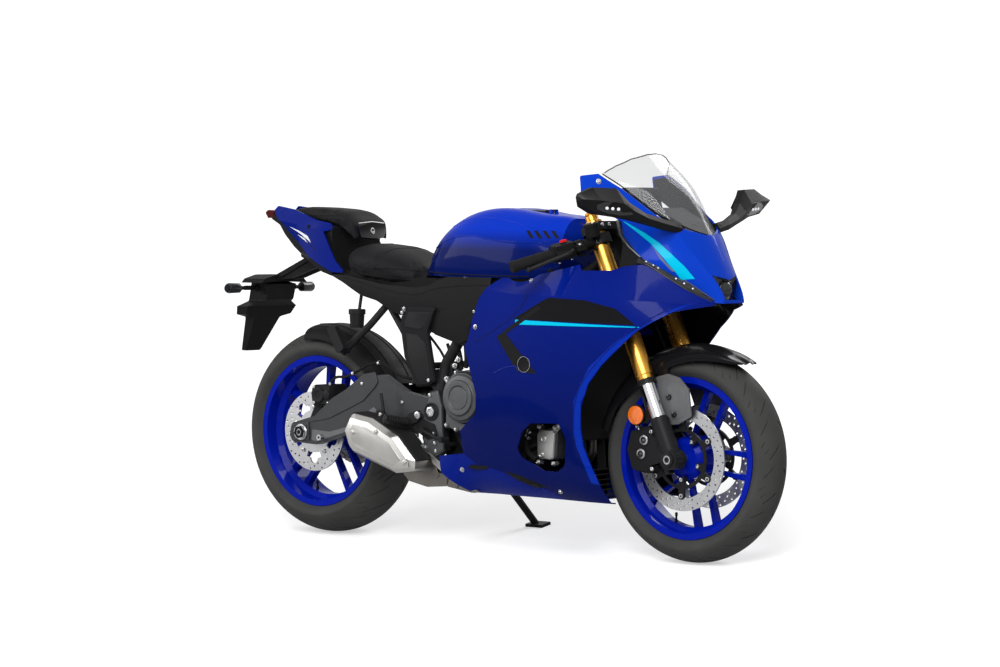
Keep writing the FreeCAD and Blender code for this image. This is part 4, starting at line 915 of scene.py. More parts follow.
def chainPath():
    # The loop's length from the tangents, then even steps round it
    (x0, z0), (x1, z1) = drive["rear"], drive["front"]
    r0, r1 = drive["rearPitch"], drive["frontPitch"]
    gap = math.hypot(x1 - x0, z1 - z0)
    tilt = math.atan2(z1 - z0, x1 - x0)
    lift = math.asin((r0 - r1) / gap)
    run = gap * math.cos(lift)
    wrapFront = math.pi - 2 * lift
    wrapRear = math.pi + 2 * lift
    total = 2 * run + r1 * wrapFront + r0 * wrapRear
    links = 2 * round(total / drive["pitch"] / 2)
    spots = []
    for k in range(links):
        s = total * k / links
        top = tilt + math.pi / 2 - lift
        if s < run:
            base = Vector((x0 + r0 * math.cos(top), 0, z0 + r0 * math.sin(top)))
            spots.append(base + Vector((math.cos(tilt - lift), 0, math.sin(tilt - lift))) * s)
        elif s < run + r1 * wrapFront:
            turn = top - (s - run) / r1
            spots.append(Vector((x1 + r1 * math.cos(turn), 0, z1 + r1 * math.sin(turn))))
        elif s < 2 * run + r1 * wrapFront:
            low = tilt - math.pi / 2 + lift
            base = Vector((x1 + r1 * math.cos(low), 0, z1 + r1 * math.sin(low)))
            ahead = s - run - r1 * wrapFront
            spots.append(base - Vector((math.cos(tilt + lift), 0, math.sin(tilt + lift))) * ahead)
        else:
            turn = tilt - math.pi / 2 + lift - (s - 2 * run - r1 * wrapFront) / r0
            spots.append(Vector((x0 + r0 * math.cos(turn), 0, z0 + r0 * math.sin(turn))))
    return spots


def chainPiece():
    shape = Shape()
    y = drive["y"]
    spots = chainPath()
    for k, here in enumerate(spots):
        ahead = spots[(k + 1) % len(spots)]
        run = (ahead - here).normalized()
        lift = run.cross(across())
        outer = k % 2
        # Two waisted plates, the pin and the roller
        for side in (-1, 1):
            outline = []
            for i in range(16):
                turn = 2 * math.pi * i / 16
                end = ahead if math.cos(turn) > 0 else here
                reach = 6.9 if abs(math.cos(turn)) > 0.3 else 5.0
                spot = end + (run * math.cos(turn) + lift * math.sin(turn)) * reach
                outline.append((spot.x, y + side * (6.6 if outer else 4.6), spot.z))
            shape.slab(outline, (0, side * 1.6, 0), tint=outer)
        shape.turned([(-9.4, 2.6), (-9.4, 3.0), (9.4, 3.0), (9.4, 2.6)], (here.x, y, here.z), across(), 10, tint=1)
        shape.turned([(-4.4, 5.0), (4.4, 5.0)], (here.x, y, here.z), across(), 12, tint=1)
    front = (drive["front"][0], y, drive["front"][1])
    shape.turned([(-9, 34), (9, 34)], front, across(), 40)
    shape.turned([(-14, 15), (0, 15)], front, across(), 24, tint=1)
    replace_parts(shape.made("driveChain", "root", ["dark_steel", "chain_gold"]), "chain")


def sprocketTeeth():
    teeth = Shape()
    centre = Vector((drive["rear"][0], drive["y"], drive["rear"][1]))
    for k in range(drive["teeth"]):
        out, run = spoke(0.25 - k / drive["teeth"])
        base = centre + Vector((0, -3, 0)) + out * drive["toothFoot"]
        teeth.slab([base - run * 5, base + run * 5, base + run * 2 + out * 10, base - run * 2 + out * 10], (0, 6, 0))
    for k in range(drive["spots"]):
        out = spoke(0.25 - (k + 0.3) / drive["spots"])[0]
        spot = centre + Vector((0, 3.5, 0)) + out * drive["spotRadius"]
        teeth.turned([(0, 9), (7, 9), (8, 8), (8, 4)], spot, across(), 18, hexed=(0, 1, 2))
    teeth.made("sprocketTeeth", "rear_wheel", ["dark_steel"])


chainPiece()
sprocketTeeth()

print("fork, calipers and wheel trim")
rake = math.radians(23.7)
upFork = Vector((-math.sin(rake), 0, math.cos(rake)))
aheadFork = Vector((math.cos(rake), 0, math.sin(rake)))
fork = {
    "leg": 110, "disc": 66,
    "clampBolts": ((535, 58), (705, 52)),
    "pistons": ((1282, 347), (1272, 307)),
    "bridge": [(1240, 366), (1262, 384), (1300, 386), (1300, 372), (1262, 370), (1250, 356)],
    "foot": [(1236, 282), (1252, 258), (1296, 252), (1316, 276), (1300, 268), (1262, 272)],
    "pads": [(1226, 330), (1216, 318), (1228, 300), (1240, 300), (1240, 334)],
    "bodyBolts": ((1306, 372), (1310, 266)), "mountBolts": ((1352, 366), (1368, 312)),
    "reflector": (1265, 418),
    "reflectorPlate": [(1258, 392), (1300, 396), (1338, 430), (1338, 452), (1290, 430), (1262, 412)],
    "stayBolts": [(1361, 472), (1380, 423)],
    "stayPanel": [(1336, 404), (1390, 408), (1424, 424), (1416, 488), (1392, 512), (1356, 518), (1342, 470)],
}


def onLeg(along, side=0.0, ahead=0.0):
    return frontCentre + upFork * along + across() * side + aheadFork * ahead


def arc(start, middle, end, steps):
    # Smooth bend from start to end, pulled towards the middle point
    a, b, c = Vector(start), Vector(middle), Vector(end)
    return [a * (1 - t) ** 2 + b * 2 * t * (1 - t) + c * t * t for t in (k / steps for k in range(steps + 1))]


def forkTrim():
    bright = Shape()
    dark = Shape()
    for side in (-1, 1):
        leg = fork["leg"] * side
        out = across(side)
        # Dust seal, band, cap and adjuster of the leg
        dark.turned([(228, 21), (228, 27.5), (240, 27.5), (243, 25.5)], onLeg(0, leg), upFork, 40)
        dark.turned([(120, 20.8), (120, 25), (126, 24), (128, 20.8)], onLeg(0, leg), upFork, 40)
        bright.turned([(750, 17), (757, 17), (758, 14), (758, 6)], onLeg(0, leg), upFork, 30, tint=1, hexed=(0, 1, 2))
        bright.turned([(764, 7.5), (770, 7.5), (771, 6), (771, 2)], onLeg(0, leg), upFork, 20)
        # Axle clamp with its two bolts, and the axle's recessed end
        for along in (-16, 22):
            bright.bolt(onLeg(along, leg + 2 * side, -28), -aheadFork, 5.0)
        dark.slab([onLeg(-34, leg - 14, -32), onLeg(36, leg - 14, -32),
                   onLeg(36, leg + 14, -32), onLeg(-34, leg + 14, -32)], aheadFork * 14)
        dark.turned([(0, 21), (5, 20), (6, 12.5), (1.5, 12)], frontCentre + out * 135, out, 36)
        for along, spread in fork["clampBolts"]:
            for turn in (-spread, spread):
                bright.bolt(onLeg(along, leg + 0.3 * turn * side, 39), aheadFork, 5.5)
        calipers(bright, dark, side)
    bright.made("forkFittings", "steering", ["axle_steel", "gold_anodised"], bevel=0.8)
    dark.made("forkTrim", "steering", ["black_metal"], bevel=0.8)


def calipers(bright, dark, side):
    # Bridge, piston caps, mounting bolts, bleed screw and hose of one front caliper
    out = across(side)
    body = fork["disc"] * side
    leg = fork["leg"] * side
    for x, z in fork["pistons"]:
        bright.turned([(0, 15), (3.5, 14.5), (4.5, 12), (4.0, 6), (4.0, 5)], (x, body + 30 * side, z), out, 28)
        dark.turned([(0, 19), (2.0, 18)], (x, body + 29.5 * side, z), out, 32)
        dark.turned([(4.0, 9.5), (4.8, 9), (4.6, 5), (3.0, 4.6)], (x, body + 30 * side, z), out, 24, hexed=(2, 3))
    dark.plate(fork["bridge"], body - 20 * side, body + 27 * side)
    dark.plate(fork["foot"], body - 20 * side, body + 28 * side)
    dark.plate(fork["pads"], body - 16 * side, body + 22 * side)
    bright.bolts(fork["bodyBolts"], body + 27 * side, side, 6.5)
    bright.bolts(fork["mountBolts"], leg - 8 * side, side, 6.0)
    bright.tube([(1250, body + 24 * side, 380), (1248, body + 26 * side, 392)], 3.0, 10)
    # The hose runs up behind the leg to the lower clamp
    path = arc((1258, body + 22 * side, 378), (1262, body + 30 * side, 440), onLeg(150, leg - 6 * side, -34), 10)
    path += arc(onLeg(170, leg - 8 * side, -36), onLeg(330, leg - 16 * side, -44), onLeg(500, 60 * side, -34), 14)
    dark.hose(path[::3], 3.4, bends=5, steps=10)
    bright.turned([(-8, 5), (8, 5)], path[0] + Vector((0, 0, 4)), (0, 0.2, 1), 14)


def reflectors():
    shape = Shape()
    for side in (-1, 1):
        centre = Vector((fork["reflector"][0], 112 * side, fork["reflector"][1]))
        shape.turned([(-5, 30), (2, 30), (3, 28.5), (3, 27)], centre, across(side), 40, tint=1)
        shape.turned([(2, 27), (5, 26.5), (7, 22), (7.6, 12), (7.8, 0.5)], centre, across(side), 40)
        shape.plate(fork["reflectorPlate"], 106 * side, 102 * side, tint=1)
    shape.made("sideReflectors", "steering", ["amber_lens", "black_plastic"])


def stayTrim():
    # Gloss bolts and raised panels of the fender's stays
    gloss = Shape()
    grey = Shape()
    skin = skinOf(nodes["fender_stays"])
    for side in (-1, 1):
        boltsOn(gloss, skin, fork["stayBolts"], side, 8.5)
        grey.plate(fork["stayPanel"], 82.8 * side, 84.6 * side, 0, 0.86)
    gloss.made("stayBolts", "steering", ["piano_black"])
    grey.made("stayPanels", "steering", ["stay_grey"], bevel=0.8)


def valve(name, body, centre):
    shape = Shape()
    out = spoke(200 / 360)[0]
    shape.turned([(-4, 5), (8, 4.2), (9, 3), (22, 3), (22, 4), (31, 4), (32, 2.5)], centre + out * 200,
                 Vector((-out.x, -0.45, -out.z)), 14)
    shape.made(name, body, ["grip_rubber"])


forkTrim()
reflectors()
stayTrim()
valve("valveF", "front_wheel", frontCentre)
valve("valveR", "rear_wheel", rearCentre)

print("fairing, lamps, mirrors and screen trim")
fairing = {
    "strip": [(854, 632), (1012, 728), (1020, 716), (890, 642), (1007, 530), (934, 535)],
    "badgeRing": (960, 556), "ledge": [(846, 527), (880, 541), (926, 549), (940, 536)],
    "slots": ([(716, 247), (738, 254), (799, 252), (791, 243), (742, 240)],
              [(858, 240), (905, 236), (1019, 203), (973, 200), (910, 218)]),
    "bolts": [(1062, 193), (954, 796), (766, 658)], "bellyBolts": [(690, 236)],
    "seam": [(958, 762), (969, 751), (926, 701), (850, 655), (767, 613)],
    "arch": [(1412, 726), (1352, 688), (1266, 622), (1196, 552), (1158, 500), (1140, 450), (1134, 400), (1134, 350)],
}


def fairingTrim():
    skin = skinOf(nodes["side_fairings"])
    belly = skinOf(nodes["belly_pan"])
    black = Shape()
    blue = Shape()
    bolts = Shape()
    for side in (-1, 1):
        draped(black, skin, fairing["strip"], side, 0.7, 1.6, 12)
        ribbon(blue, skin, fairing["ledge"], side, 2.6, -0.6)
        ribbon(blue, skin, fairing["arch"], side, 2.4, -1.2)
        ribbon(black, skin, fairing["seam"], side, 0.9)
        ring, facing = onSkin(skin, *fairing["badgeRing"], side)
        black.turned([(-1, 22), (2.0, 22), (2.6, 20.5), (1.6, 18), (1.4, 4), (1.2, 0.5)], ring, facing, 40)
        bolts.turned([(1.2, 23.2), (2.2, 22.8), (2.2, 22.2), (1.2, 22.2)], ring, facing, 40, close=True)
        for slot in fairing["slots"]:
            draped(black, skin, slot, side, 0.5, 1.4, 12)
        boltsOn(bolts, skin, fairing["bolts"], side, 5.5)
        boltsOn(bolts, belly, fairing["bellyBolts"], side, 5.5)
    black.made("fairingInserts", "root", ["black_plastic"])
    blue.made("fairingCreases", "root", ["blue_paint"], bend=60)
    bolts.made("fairingBolts", "root", ["axle_steel"])


fairingTrim()

pump = {
    "outline": [(948, 286), (946, 350), (952, 364), (1004, 367), (1012, 358), (1006, 284), (998, 277), (956, 279)],
    "bosses": ((972, 338, 11), (964, 292, 8)), "lugs": ((952, 372), (1010, 372), (1006, 268), (950, 270)),
    "spout": [(996, -152, 356), (1010, -152, 372), (1022, -151, 386)],
    "hoses": (([(1022, -151, 384), (1034, -150, 410), (1026, -148, 450), (1010, -146, 500)], 10),
              ([(938, -150, 352), (918, -158, 350), (900, -160, 330), (905, -156, 296), (930, -150, 276)], 9),
              ([(940, -146, 318), (920, -150, 316), (896, -152, 300), (880, -150, 262)], 7),
              ([(900, -150, 380), (940, -156, 392), (990, -158, 398), (1040, -150, 392)], 6)),
    "clips": ((914, 357), (908, 342)), "clip": [(-5, 11), (5, 11), (5, 9.2), (-5, 9.2)],
    "bracket": [(915, 300), (940, 282), (940, 262), (905, 272)],
}


def pumpAndHoses():
    # Water pump cover and hoses that show through the hole in the right-hand panel
    cover = Shape()
    dark = Shape()
    cover.plate(pump["outline"], -162.4, -168, 0, 0.93)
    for x, z, r in pump["bosses"]:
        cover.turned([(0, r), (4, r), (5, r - 1.5), (5, r * 0.62), (2, r * 0.5)], (x, -167, z), across(-1), 30)
    for x, z in pump["lugs"]:
        cover.turned([(0, 7), (20, 7), (21, 6)], (x, -146, z), across(-1), 20)
    cover.bolts(pump["lugs"], -167)
    cover.tube(pump["spout"], 9, 18)
    cover.made("pumpCover", "root", ["silver_cover"], bevel=1.2)
    for points, radius in pump["hoses"]:
        dark.hose(points, radius)
    for x, z in pump["clips"]:
        dark.turned(pump["clip"], (x, -158, z), (0.6, 0, 0.8), 24, 1, close=True)
    dark.plate(pump["bracket"], -150, -138, 0, 0.9)
    dark.made("coolantHoses", "root", ["grip_rubber", "axle_steel"])


pumpAndHoses()

slit = {
    "upper": [(1300, -152, 873), (1330, -144, 856), (1362, -129, 838), (1392, -108, 820), (1430, -91, 797),
              (1468, -74, 771), (1498, -60, 749)],
    "lower": [(1308, -172, 853), (1340, -162, 846), (1372, -148, 826), (1404, -132, 803), (1436, -114, 781),
              (1470, -91, 760), (1498, -71, 744)],
    "frame": [(1234, 164, 972), (1247, 168, 930), (1272, 162, 898), (1304, 150, 868)],
    "bars": (0.34, 0.62), "leds": (0.16, 0.24, 0.32, 0.56, 0.66, 0.76), "projector": (1490, 0, 777),
}


def mirrored(points, side):
    return [Vector((x, side * y, z)) for x, y, z in points]


def slitLamps():
    # Slit lamps between the cheeks and the fairing's shelf
    dark = Shape()
    clear = Shape()
    for side in (-1, 1):
        top, low = (smoothPath(mirrored(slit[line], -side), 5) for line in ("upper", "lower"))
        out = Vector((0.62, 0.62 * side, 0.48))
        rows = []
        for p, q in zip(top, low):
            bulge = min(4.0, 0.3 * (p - q).length)
            rows.append([p + out * 0.3, p.lerp(q, 0.3) + out * bulge, p.lerp(q, 0.7) + out * bulge, q + out * 0.3,
                         q - out * 3.5, p - out * 3.5])
        clear.grid(rows, 0, wrap=True)
        clear.add(rows[0], [(5, 4, 3, 2, 1, 0)])
        clear.add(rows[-1], [(0, 1, 2, 3, 4, 5)])
        for share in slit["bars"]:
            line = [p.lerp(q, share) + out * min(4.2, 0.32 * (p - q).length) for p, q in zip(top, low)]
            dark.tube(line[2:-5], 1.1, 8)
        dark.tube([p + out for p in low], 1.8, 8)
        dark.tube([p + out for p in top], 1.6, 8)
        dark.tube(mirrored(slit["frame"], side), 6, 10)
        for share in slit["leds"]:
            k = int(share * (len(top) - 1))
            spot = top[k].lerp(low[k], 0.48) + out * min(4.0, 0.3 * (top[k] - low[k]).length)
            clear.turned([(-1, 2.6), (1.0, 2.4), (1.6, 1.6), (1.7, 0.3)], spot, out, 14, 1)
    dark.made("slitLampTrim", "root", ["piano_black"], bend=50)
    clear.made("slitLamps", "root", ["piano_black", "led_white"], bend=50)


def noseLamp():
    # The projector in the nose and its black surround
    nose = Shape()
    nose.turned([(0, 29), (6, 29), (7, 27.6), (3, 26.5), (1, 26.5)], slit["projector"], (1, 0, 0), 48)
    nose.turned([(8, 25.2), (13, 20.5), (17, 15.2), (19.4, 8), (20.6, 0.5)], slit["projector"], (1, 0, 0), 40, 1)
    for z in (754, 800):
        nose.slab([(1490, -30, z - 1.2), (1490, 30, z - 1.2), (1490, 24, z + 1.2), (1490, -24, z + 1.2)], (4, 0, 0))
    for side in (-1, 1):
        nose.slab(mirrored([(1478, 34, 764), (1478, 46, 800), (1478, 52, 812), (1478, 38, 792)], side), (10, 0, 0))
    nose.made("noseLamp", "root", ["piano_black", "smoked_lens"], bevel=0.5)


slitLamps()
noseLamp()

mirror = {
    "ring": [(1310, 266, 1008), (1309, 304, 1056), (1297, 374, 1059), (1296, 424, 1042), (1299, 426, 1016),
             (1301, 380, 994), (1316, 304, 986), (1330, 268, 980)],
    # Outline of the lamp window on the front, as (y, z)
    "window": ((262, 1006), (290, 1019), (330, 1025), (372, 1024), (396, 1015), (390, 1003), (350, 992), (306, 986),
               (272, 988)),
    "lamps": (0.25, 0.5, 0.75), "glass": 0.88, "boot": (1391, 96, 950),
}


def mirrorTrim():
    skin = skinOf(nodes["mirrors"])
    glass = Shape()
    dark = Shape()
    for side in (-1, 1):
        def fromFront(y, z):
            return skin.ray_cast(Vector((1600, side * y, z)), Vector((-1, 0, 0)))[0]
        ring = mirrored(mirror["ring"], side)
        middle = sum(ring, Vector()) / len(ring)
        glass.slab([middle + (p - middle) * mirror["glass"] + Vector((-0.4, 0, 0)) for p in ring], (-1.2, 0, 0))
        window = [fromFront(y, z) for y, z in mirror["window"]]
        dark.slab([spot + Vector((1.8, 0, 0)) for spot in window if spot is not None], (-6, 0, 0))
        for t in mirror["lamps"]:
            dark.turned([(0, 4.6), (3.4, 4.2), (4.4, 2.6), (4.6, 0.4)], fromFront(300 + 78 * t, 1003 + 5 * t),
                        (0.9, side * 0.2, -0.2), 18, 1)
        # Root boot on the cowl
        dark.turned([(0, 15), (4, 14), (6, 12), (8, 10)], mirrored([mirror["boot"]], side)[0],
                    (-0.35, side * 0.9, 0.2), 28, 2)
    glass.made("mirrorGlass", "root", ["mirror_glass"], bend=20)
    dark.made("mirrorLamps", "root", ["piano_black", "led_white", "black_plastic"], bend=30)


mirrorTrim()

screen = {
    "rear": [(1163, 1106), (1178, 1124), (1204, 1148), (1236, 1164)],
    "low": [(1163, 1106), (1238, 1064), (1330, 994), (1400, 953), (1438, 933)],
    "liner": [(1108, 1090), (1160, 1097), (1238, 1055), (1330, 985), (1400, 944), (1430, 928), (1418, 882),
              (1330, 874), (1262, 928), (1250, 964), (1116, 1038)],
    "bolts": [(1168, 1082)], "halfWidth": 164, "steps": 42, "step": 7.81, "top": 1180, "inset": 1.7,
}


def topEdge(skin):
    # The top edge runs over the middle, so it's found from the front; the bead lies just inside it
    edge = []
    for k in range(screen["steps"] + 1):
        y = -screen["halfWidth"] + screen["step"] * k
        for drop in range(46):
            spot = skin.ray_cast(Vector((1700, y, screen["top"] - 2 * drop)), Vector((-1, 0, 0)))[0]
            if spot is not None:
                edge.append(spot - Vector((0, 0, screen["inset"])))
                break
    return edge


def screenTrim():
    skin = skinOf(nodes["windscreen"])
    cowl = skinOf(nodes["nose_cowl"])
    dark = Shape()
    bolts = Shape()
    for side in (-1, 1):
        ribbon(dark, skin, screen["low"], side, 1.8)
        ribbon(dark, skin, screen["rear"], side, 1.5)
        draped(dark, cowl, screen["liner"], side, -3.5, 1.2, 16)
        boltsOn(bolts, cowl, screen["bolts"], side)
    dark.tube(topEdge(skin), 1.4, 8)
    dark.made("screenEdge", "root", ["black_plastic"], bend=60)
    bolts.made("screenBolts", "root", ["axle_steel"])


screenTrim()

print("bars, switches and hoses")
# Distances along the bar from its leg; hose ends are (along the leg, sideways, ahead)
bars = {
    "clamp": 671, "grip": (1000, 345, 838), "box": 88, "boxLong": 56, "halves": ((-27, -1), (0, 27)), "ring": 146,
    "perch": 70, "pot": (28, 42, 34), "ribs": 9, "firstRib": 158, "ribStep": 11, "weight": 276,
    "brakeHose": ((630, 91, 22), (580, 91, 20), (545, 96, 14)), "cable": ((610, 96, 22), (570, 101, 16)), "stem": 717,
}


def barControls():
    dark = Shape()
    bright = Shape()
    for side in (-1, 1):
        start = onLeg(bars["clamp"], fork["leg"] * side)
        run = (mirrored([bars["grip"]], side)[0] - start).normalized()
        up = (Vector((0, 0, 1)) - run * run.z).normalized()
        ahead = up.cross(run) * -side
        ahead = ahead if ahead.x > 0 else -ahead

        def on(along, rise=0.0, front=0.0):
            return start + run * along + up * rise + ahead * front

        def legPoints(points):
            return [onLeg(along, y * side, front) for along, y, front in points]
        # Switch box in two halves with its screws, button and rocker
        near = bars["box"]
        for low, high in bars["halves"]:
            outline = [on(near, low, -19), on(near, high, -19), on(near, high * 0.8, 24), on(near, low * 0.8, 24)]
            dark.slab(outline, run * bars["boxLong"], 0, 0.97)
        dark.turned([(0, 18), (0, 25), (4, 25), (5, 18)], on(bars["ring"]), run, 32)
        bright.slab([on(100, 27, -8), on(118, 27, -8), on(118, 27, 8), on(100, 27, 8)], up * 6,
                    1 if side < 0 else 2, 0.85)
        dark.turned([(0, 7), (3, 7), (4, 5)], on(130, 2, -19), -ahead, 18)
        dark.slab([on(98, 12, -19), on(120, 12, -19), on(120, 4, -19), on(98, 4, -19)], -ahead * 5, 0, 0.8)
        for along in (96, 136):
            bright.bolt(on(along, -27, 2), -up, 4)
        # Lever perch, pivot bolt and master cylinder or cable adjuster
        dark.turned([(-11, 17), (-11, 21), (11, 21), (11, 17)], on(bars["perch"], 0, 4), run, 28, close=True)
        dark.slab([on(58, 10, 14), on(58, -10, 14), on(58, -8, 40), on(58, 8, 40)], run * 30, 0, 0.9)
        bright.turned([(0, 6.5), (4, 6.5), (5, 5), (5, 2)], on(76, 9, 36), up, 20, hexed=(0, 1, 2))
        if side < 0:
            dark.turned([(0, 11), (34, 11), (36, 9)], on(60, 4, 26), -run, 24)
            pot = on(*bars["pot"])
            dark.turned([(-22, 19), (-20, 21), (8, 21), (8, 23), (16, 23), (18, 21)], pot, up, 36)
            for screw in (pot + ahead * 14, pot - ahead * 14):
                bright.turned([(18, 4), (19.5, 4), (20, 3)], screw, up, 14)
            dark.hose([pot - up * 22, on(36, 12, 32), on(44, 6, 26)], 4, bends=6, steps=10)
            bright.turned([(-4, 8), (6, 8), (7, 6), (7, 3)], on(22, 4, 26), -run, 18, hexed=(0, 1, 2))
            dark.hose([on(20, 4, 30), on(8, 2, 30)] + legPoints(bars["brakeHose"]), 4, steps=12)
        else:
            bright.turned([(0, 7), (12, 7), (13, 5)], on(56, 0, 34), -run, 18, hexed=(0, 1))
            dark.hose([on(46, 0, 30), on(16, 2, 28)] + legPoints(bars["brakeHose"]), 3.4, steps=12)
        # Throttle or switch cable under the bar
        dark.hose([on(90, -18, 8), on(60, -26, 16), on(24, -18, 22)] + legPoints(bars["cable"]), 3.4, steps=12)
        # Grip ribs and the weight at the end
        for k in range(bars["ribs"]):
            dark.turned([(0, 16.4), (0.6, 17.3), (5.4, 17.3), (6, 16.4)],
                        on(bars["firstRib"] + bars["ribStep"] * k), run, 28, 1, close=True)
        dark.turned([(0, 10), (1, 17.2), (5, 17.2), (7, 15), (7, 4)], on(bars["weight"]), run, 28)
    # Stem nut and the upper clamp's bolt
    stem = onLeg(bars["stem"], 0, -37.35)
    dark.turned([(0, 21), (12, 21), (14, 18), (14, 12), (10, 11)], stem, upFork, 32)
    bright.turned([(9, 10.5), (15, 10), (16, 8.5)], stem, upFork, 28)
    bright.turned([(0, 15), (5, 15), (6, 13)], onLeg(bars["stem"], 0, 10), upFork, 24, hexed=(0, 1, 2))
    dark.made("barControls", "steering", ["black_plastic", "grip_rubber"], bevel=1.0)
    bright.made("barFittings", "steering", ["axle_steel", "red_plastic", "stay_grey"], bevel=0.5)


barControls()

print("silencer, exhaust shields and engine fittings")
exhaust = {
    "top": [(288, 389), (371, 377.5), (473, 329.5), (544, 258)],
    "shell": [(286, 300), (272, 334), (294, 374), (368, 362), (462, 317), (526, 252), (526, 234),
              (466, 227), (306, 276)],
    "face": [(300, 306), (296, 338), (306, 356), (364, 346), (452, 305), (500, 256), (466, 240), (316, 288)],
    "end": (279, -204, 298), "endAxis": (-0.9, -0.1, -0.42), "shellBolts": ((399, 336), (512, 250), (306, 330)),
    "strap": [(356, 366), (384, 352), (392, 372), (372, 396), (352, 396)],
    "rod": [(372, -190, 392), (366, -188, 420), (356, -184, 446)],
    "shield": [(448, 326), (500, 301), (560, 263), (606, 237), (662, 207), (640, 197), (588, 221), (550, 246),
               (541, 268), (486, 300)],
    "shieldBolts": ((500, 284), (606, 224), (642, 202)),
    "collector": [(548, 222), (560, 200), (604, 178), (700, 165), (728, 170), (694, 186), (642, 196), (600, 216)],
    "joint": [(560, 236), (548, 222), (560, 200), (572, 210)],
    "welds": (((600, 186), (606, 214)), ((640, 176), (648, 196))), "probe": (620, -150, 220),
}


def exhaustTrim():
    steel = Shape()
    dark = Shape()
    dark.plate(exhaust["top"] + [(x - 1.5, z - 3.0) for x, z in exhaust["top"][::-1]], -160, -232)
    # Pressed outer shell, its raised face and the end cap
    steel.plate(exhaust["shell"], -251.5, -253, 0, 0.93)
    steel.plate(exhaust["face"], -252.6, -254, 0, 0.97)
    end, axis = exhaust["end"], exhaust["endAxis"]
    dark.turned([(-6, 34), (4, 34), (7, 31), (7, 26), (-8, 24), (-30, 22)], end, axis, 40, 1)
    steel.turned([(2, 38), (5, 38), (6, 36), (5, 34), (2, 34)], end, axis, 44, close=True)
    for x, z in exhaust["shellBolts"]:
        steel.turned([(0, 8), (1.2, 8), (1.6, 7)], (x, -253, z), across(-1), 26)
    steel.bolts(exhaust["shellBolts"], -254, -1, 5.5)
    # Strap and rod up to the pillion hanger
    dark.plate(exhaust["strap"], -196, -184)
    dark.tube(exhaust["rod"], 5, 12)
    steel.bolts([(368, 384)], -197, -1, 6.5)
    # Shields of the collector, and its welds
    steel.plate(exhaust["shield"], -160, -171, 0, 0.985)
    steel.bolts(exhaust["shieldBolts"], -171, -1, 4.5)
    dark.plate(exhaust["collector"], -150.5, -163, 1, 0.96)
    dark.plate(exhaust["joint"], -150.5, -166, 1)
    for weld in exhaust["welds"]:
        dark.tube([(x, -164, z) for x, z in weld], 2.2, 10, 1)
    steel.turned([(0, 9), (10, 9), (11, 6), (30, 6), (31, 4)], exhaust["probe"], (-0.4, -0.5, 0.8), 18, hexed=(0, 1))
    steel.made("silencerTrim", "root", ["silencer_steel"], bevel=0.8)
    dark.made("exhaustTrim", "root", ["engine_black", "pipe_steel"], bevel=0.8)


exhaustTrim()

engine = {
    "clutch": (678, 0, 446),
    "clutchBolts": ((612, 492), (645, 519), (706, 527), (760, 496), (775, 440), (758, 384), (700, 353), (646, 351),
                    (609, 362)),
    "pivotPlate": [(514, 376), (537, 456), (569, 464), (586, 420), (589, 343), (596, 286), (562, 266),
                   (528, 277), (512, 322)],
    "pivot": (548, 0, 399), "plateBolts": ((526, 292), (562, 306), (566, 283), (542, 448)),
    "hanger": [(440, 366), (468, 392), (506, 402), (520, 384), (500, 366), (470, 356)],
    "hangerBolts": ((452, 366), (560, 334)),
    "hinge": (504, 0, 387), "peg": (473, 170, 362), "pegTip": (440, 262, 378), "pedal": (636, 202, 322),
    "fins": 9, "firstFin": 536, "finStep": 13,
    "hoses": (([(600, -118, 650), (606, -124, 600), (622, -130, 560), (630, -134, 526)], 7),
              ([(640, -120, 660), (640, -128, 610), (648, -134, 566), (650, -136, 530)], 6),
              ([(570, -128, 600), (590, -134, 560), (596, -138, 520), (606, -140, 492)], 5),
              ([(470, -120, 640), (520, -126, 600), (560, -132, 560), (590, -136, 500)], 4),
              ([(596, 118, 650), (604, 124, 600), (618, 130, 560), (628, 134, 520)], 7)),
    "caseBolts": ((620, 537), (588, 497), (524, 484), (634, 556)),
    "generator": (790, 0, 400), "generatorBolts": 8, "generatorRadius": 76,
    "sprocketBolts": ((616, 476), (690, 476), (690, 328), (616, 326)),
}


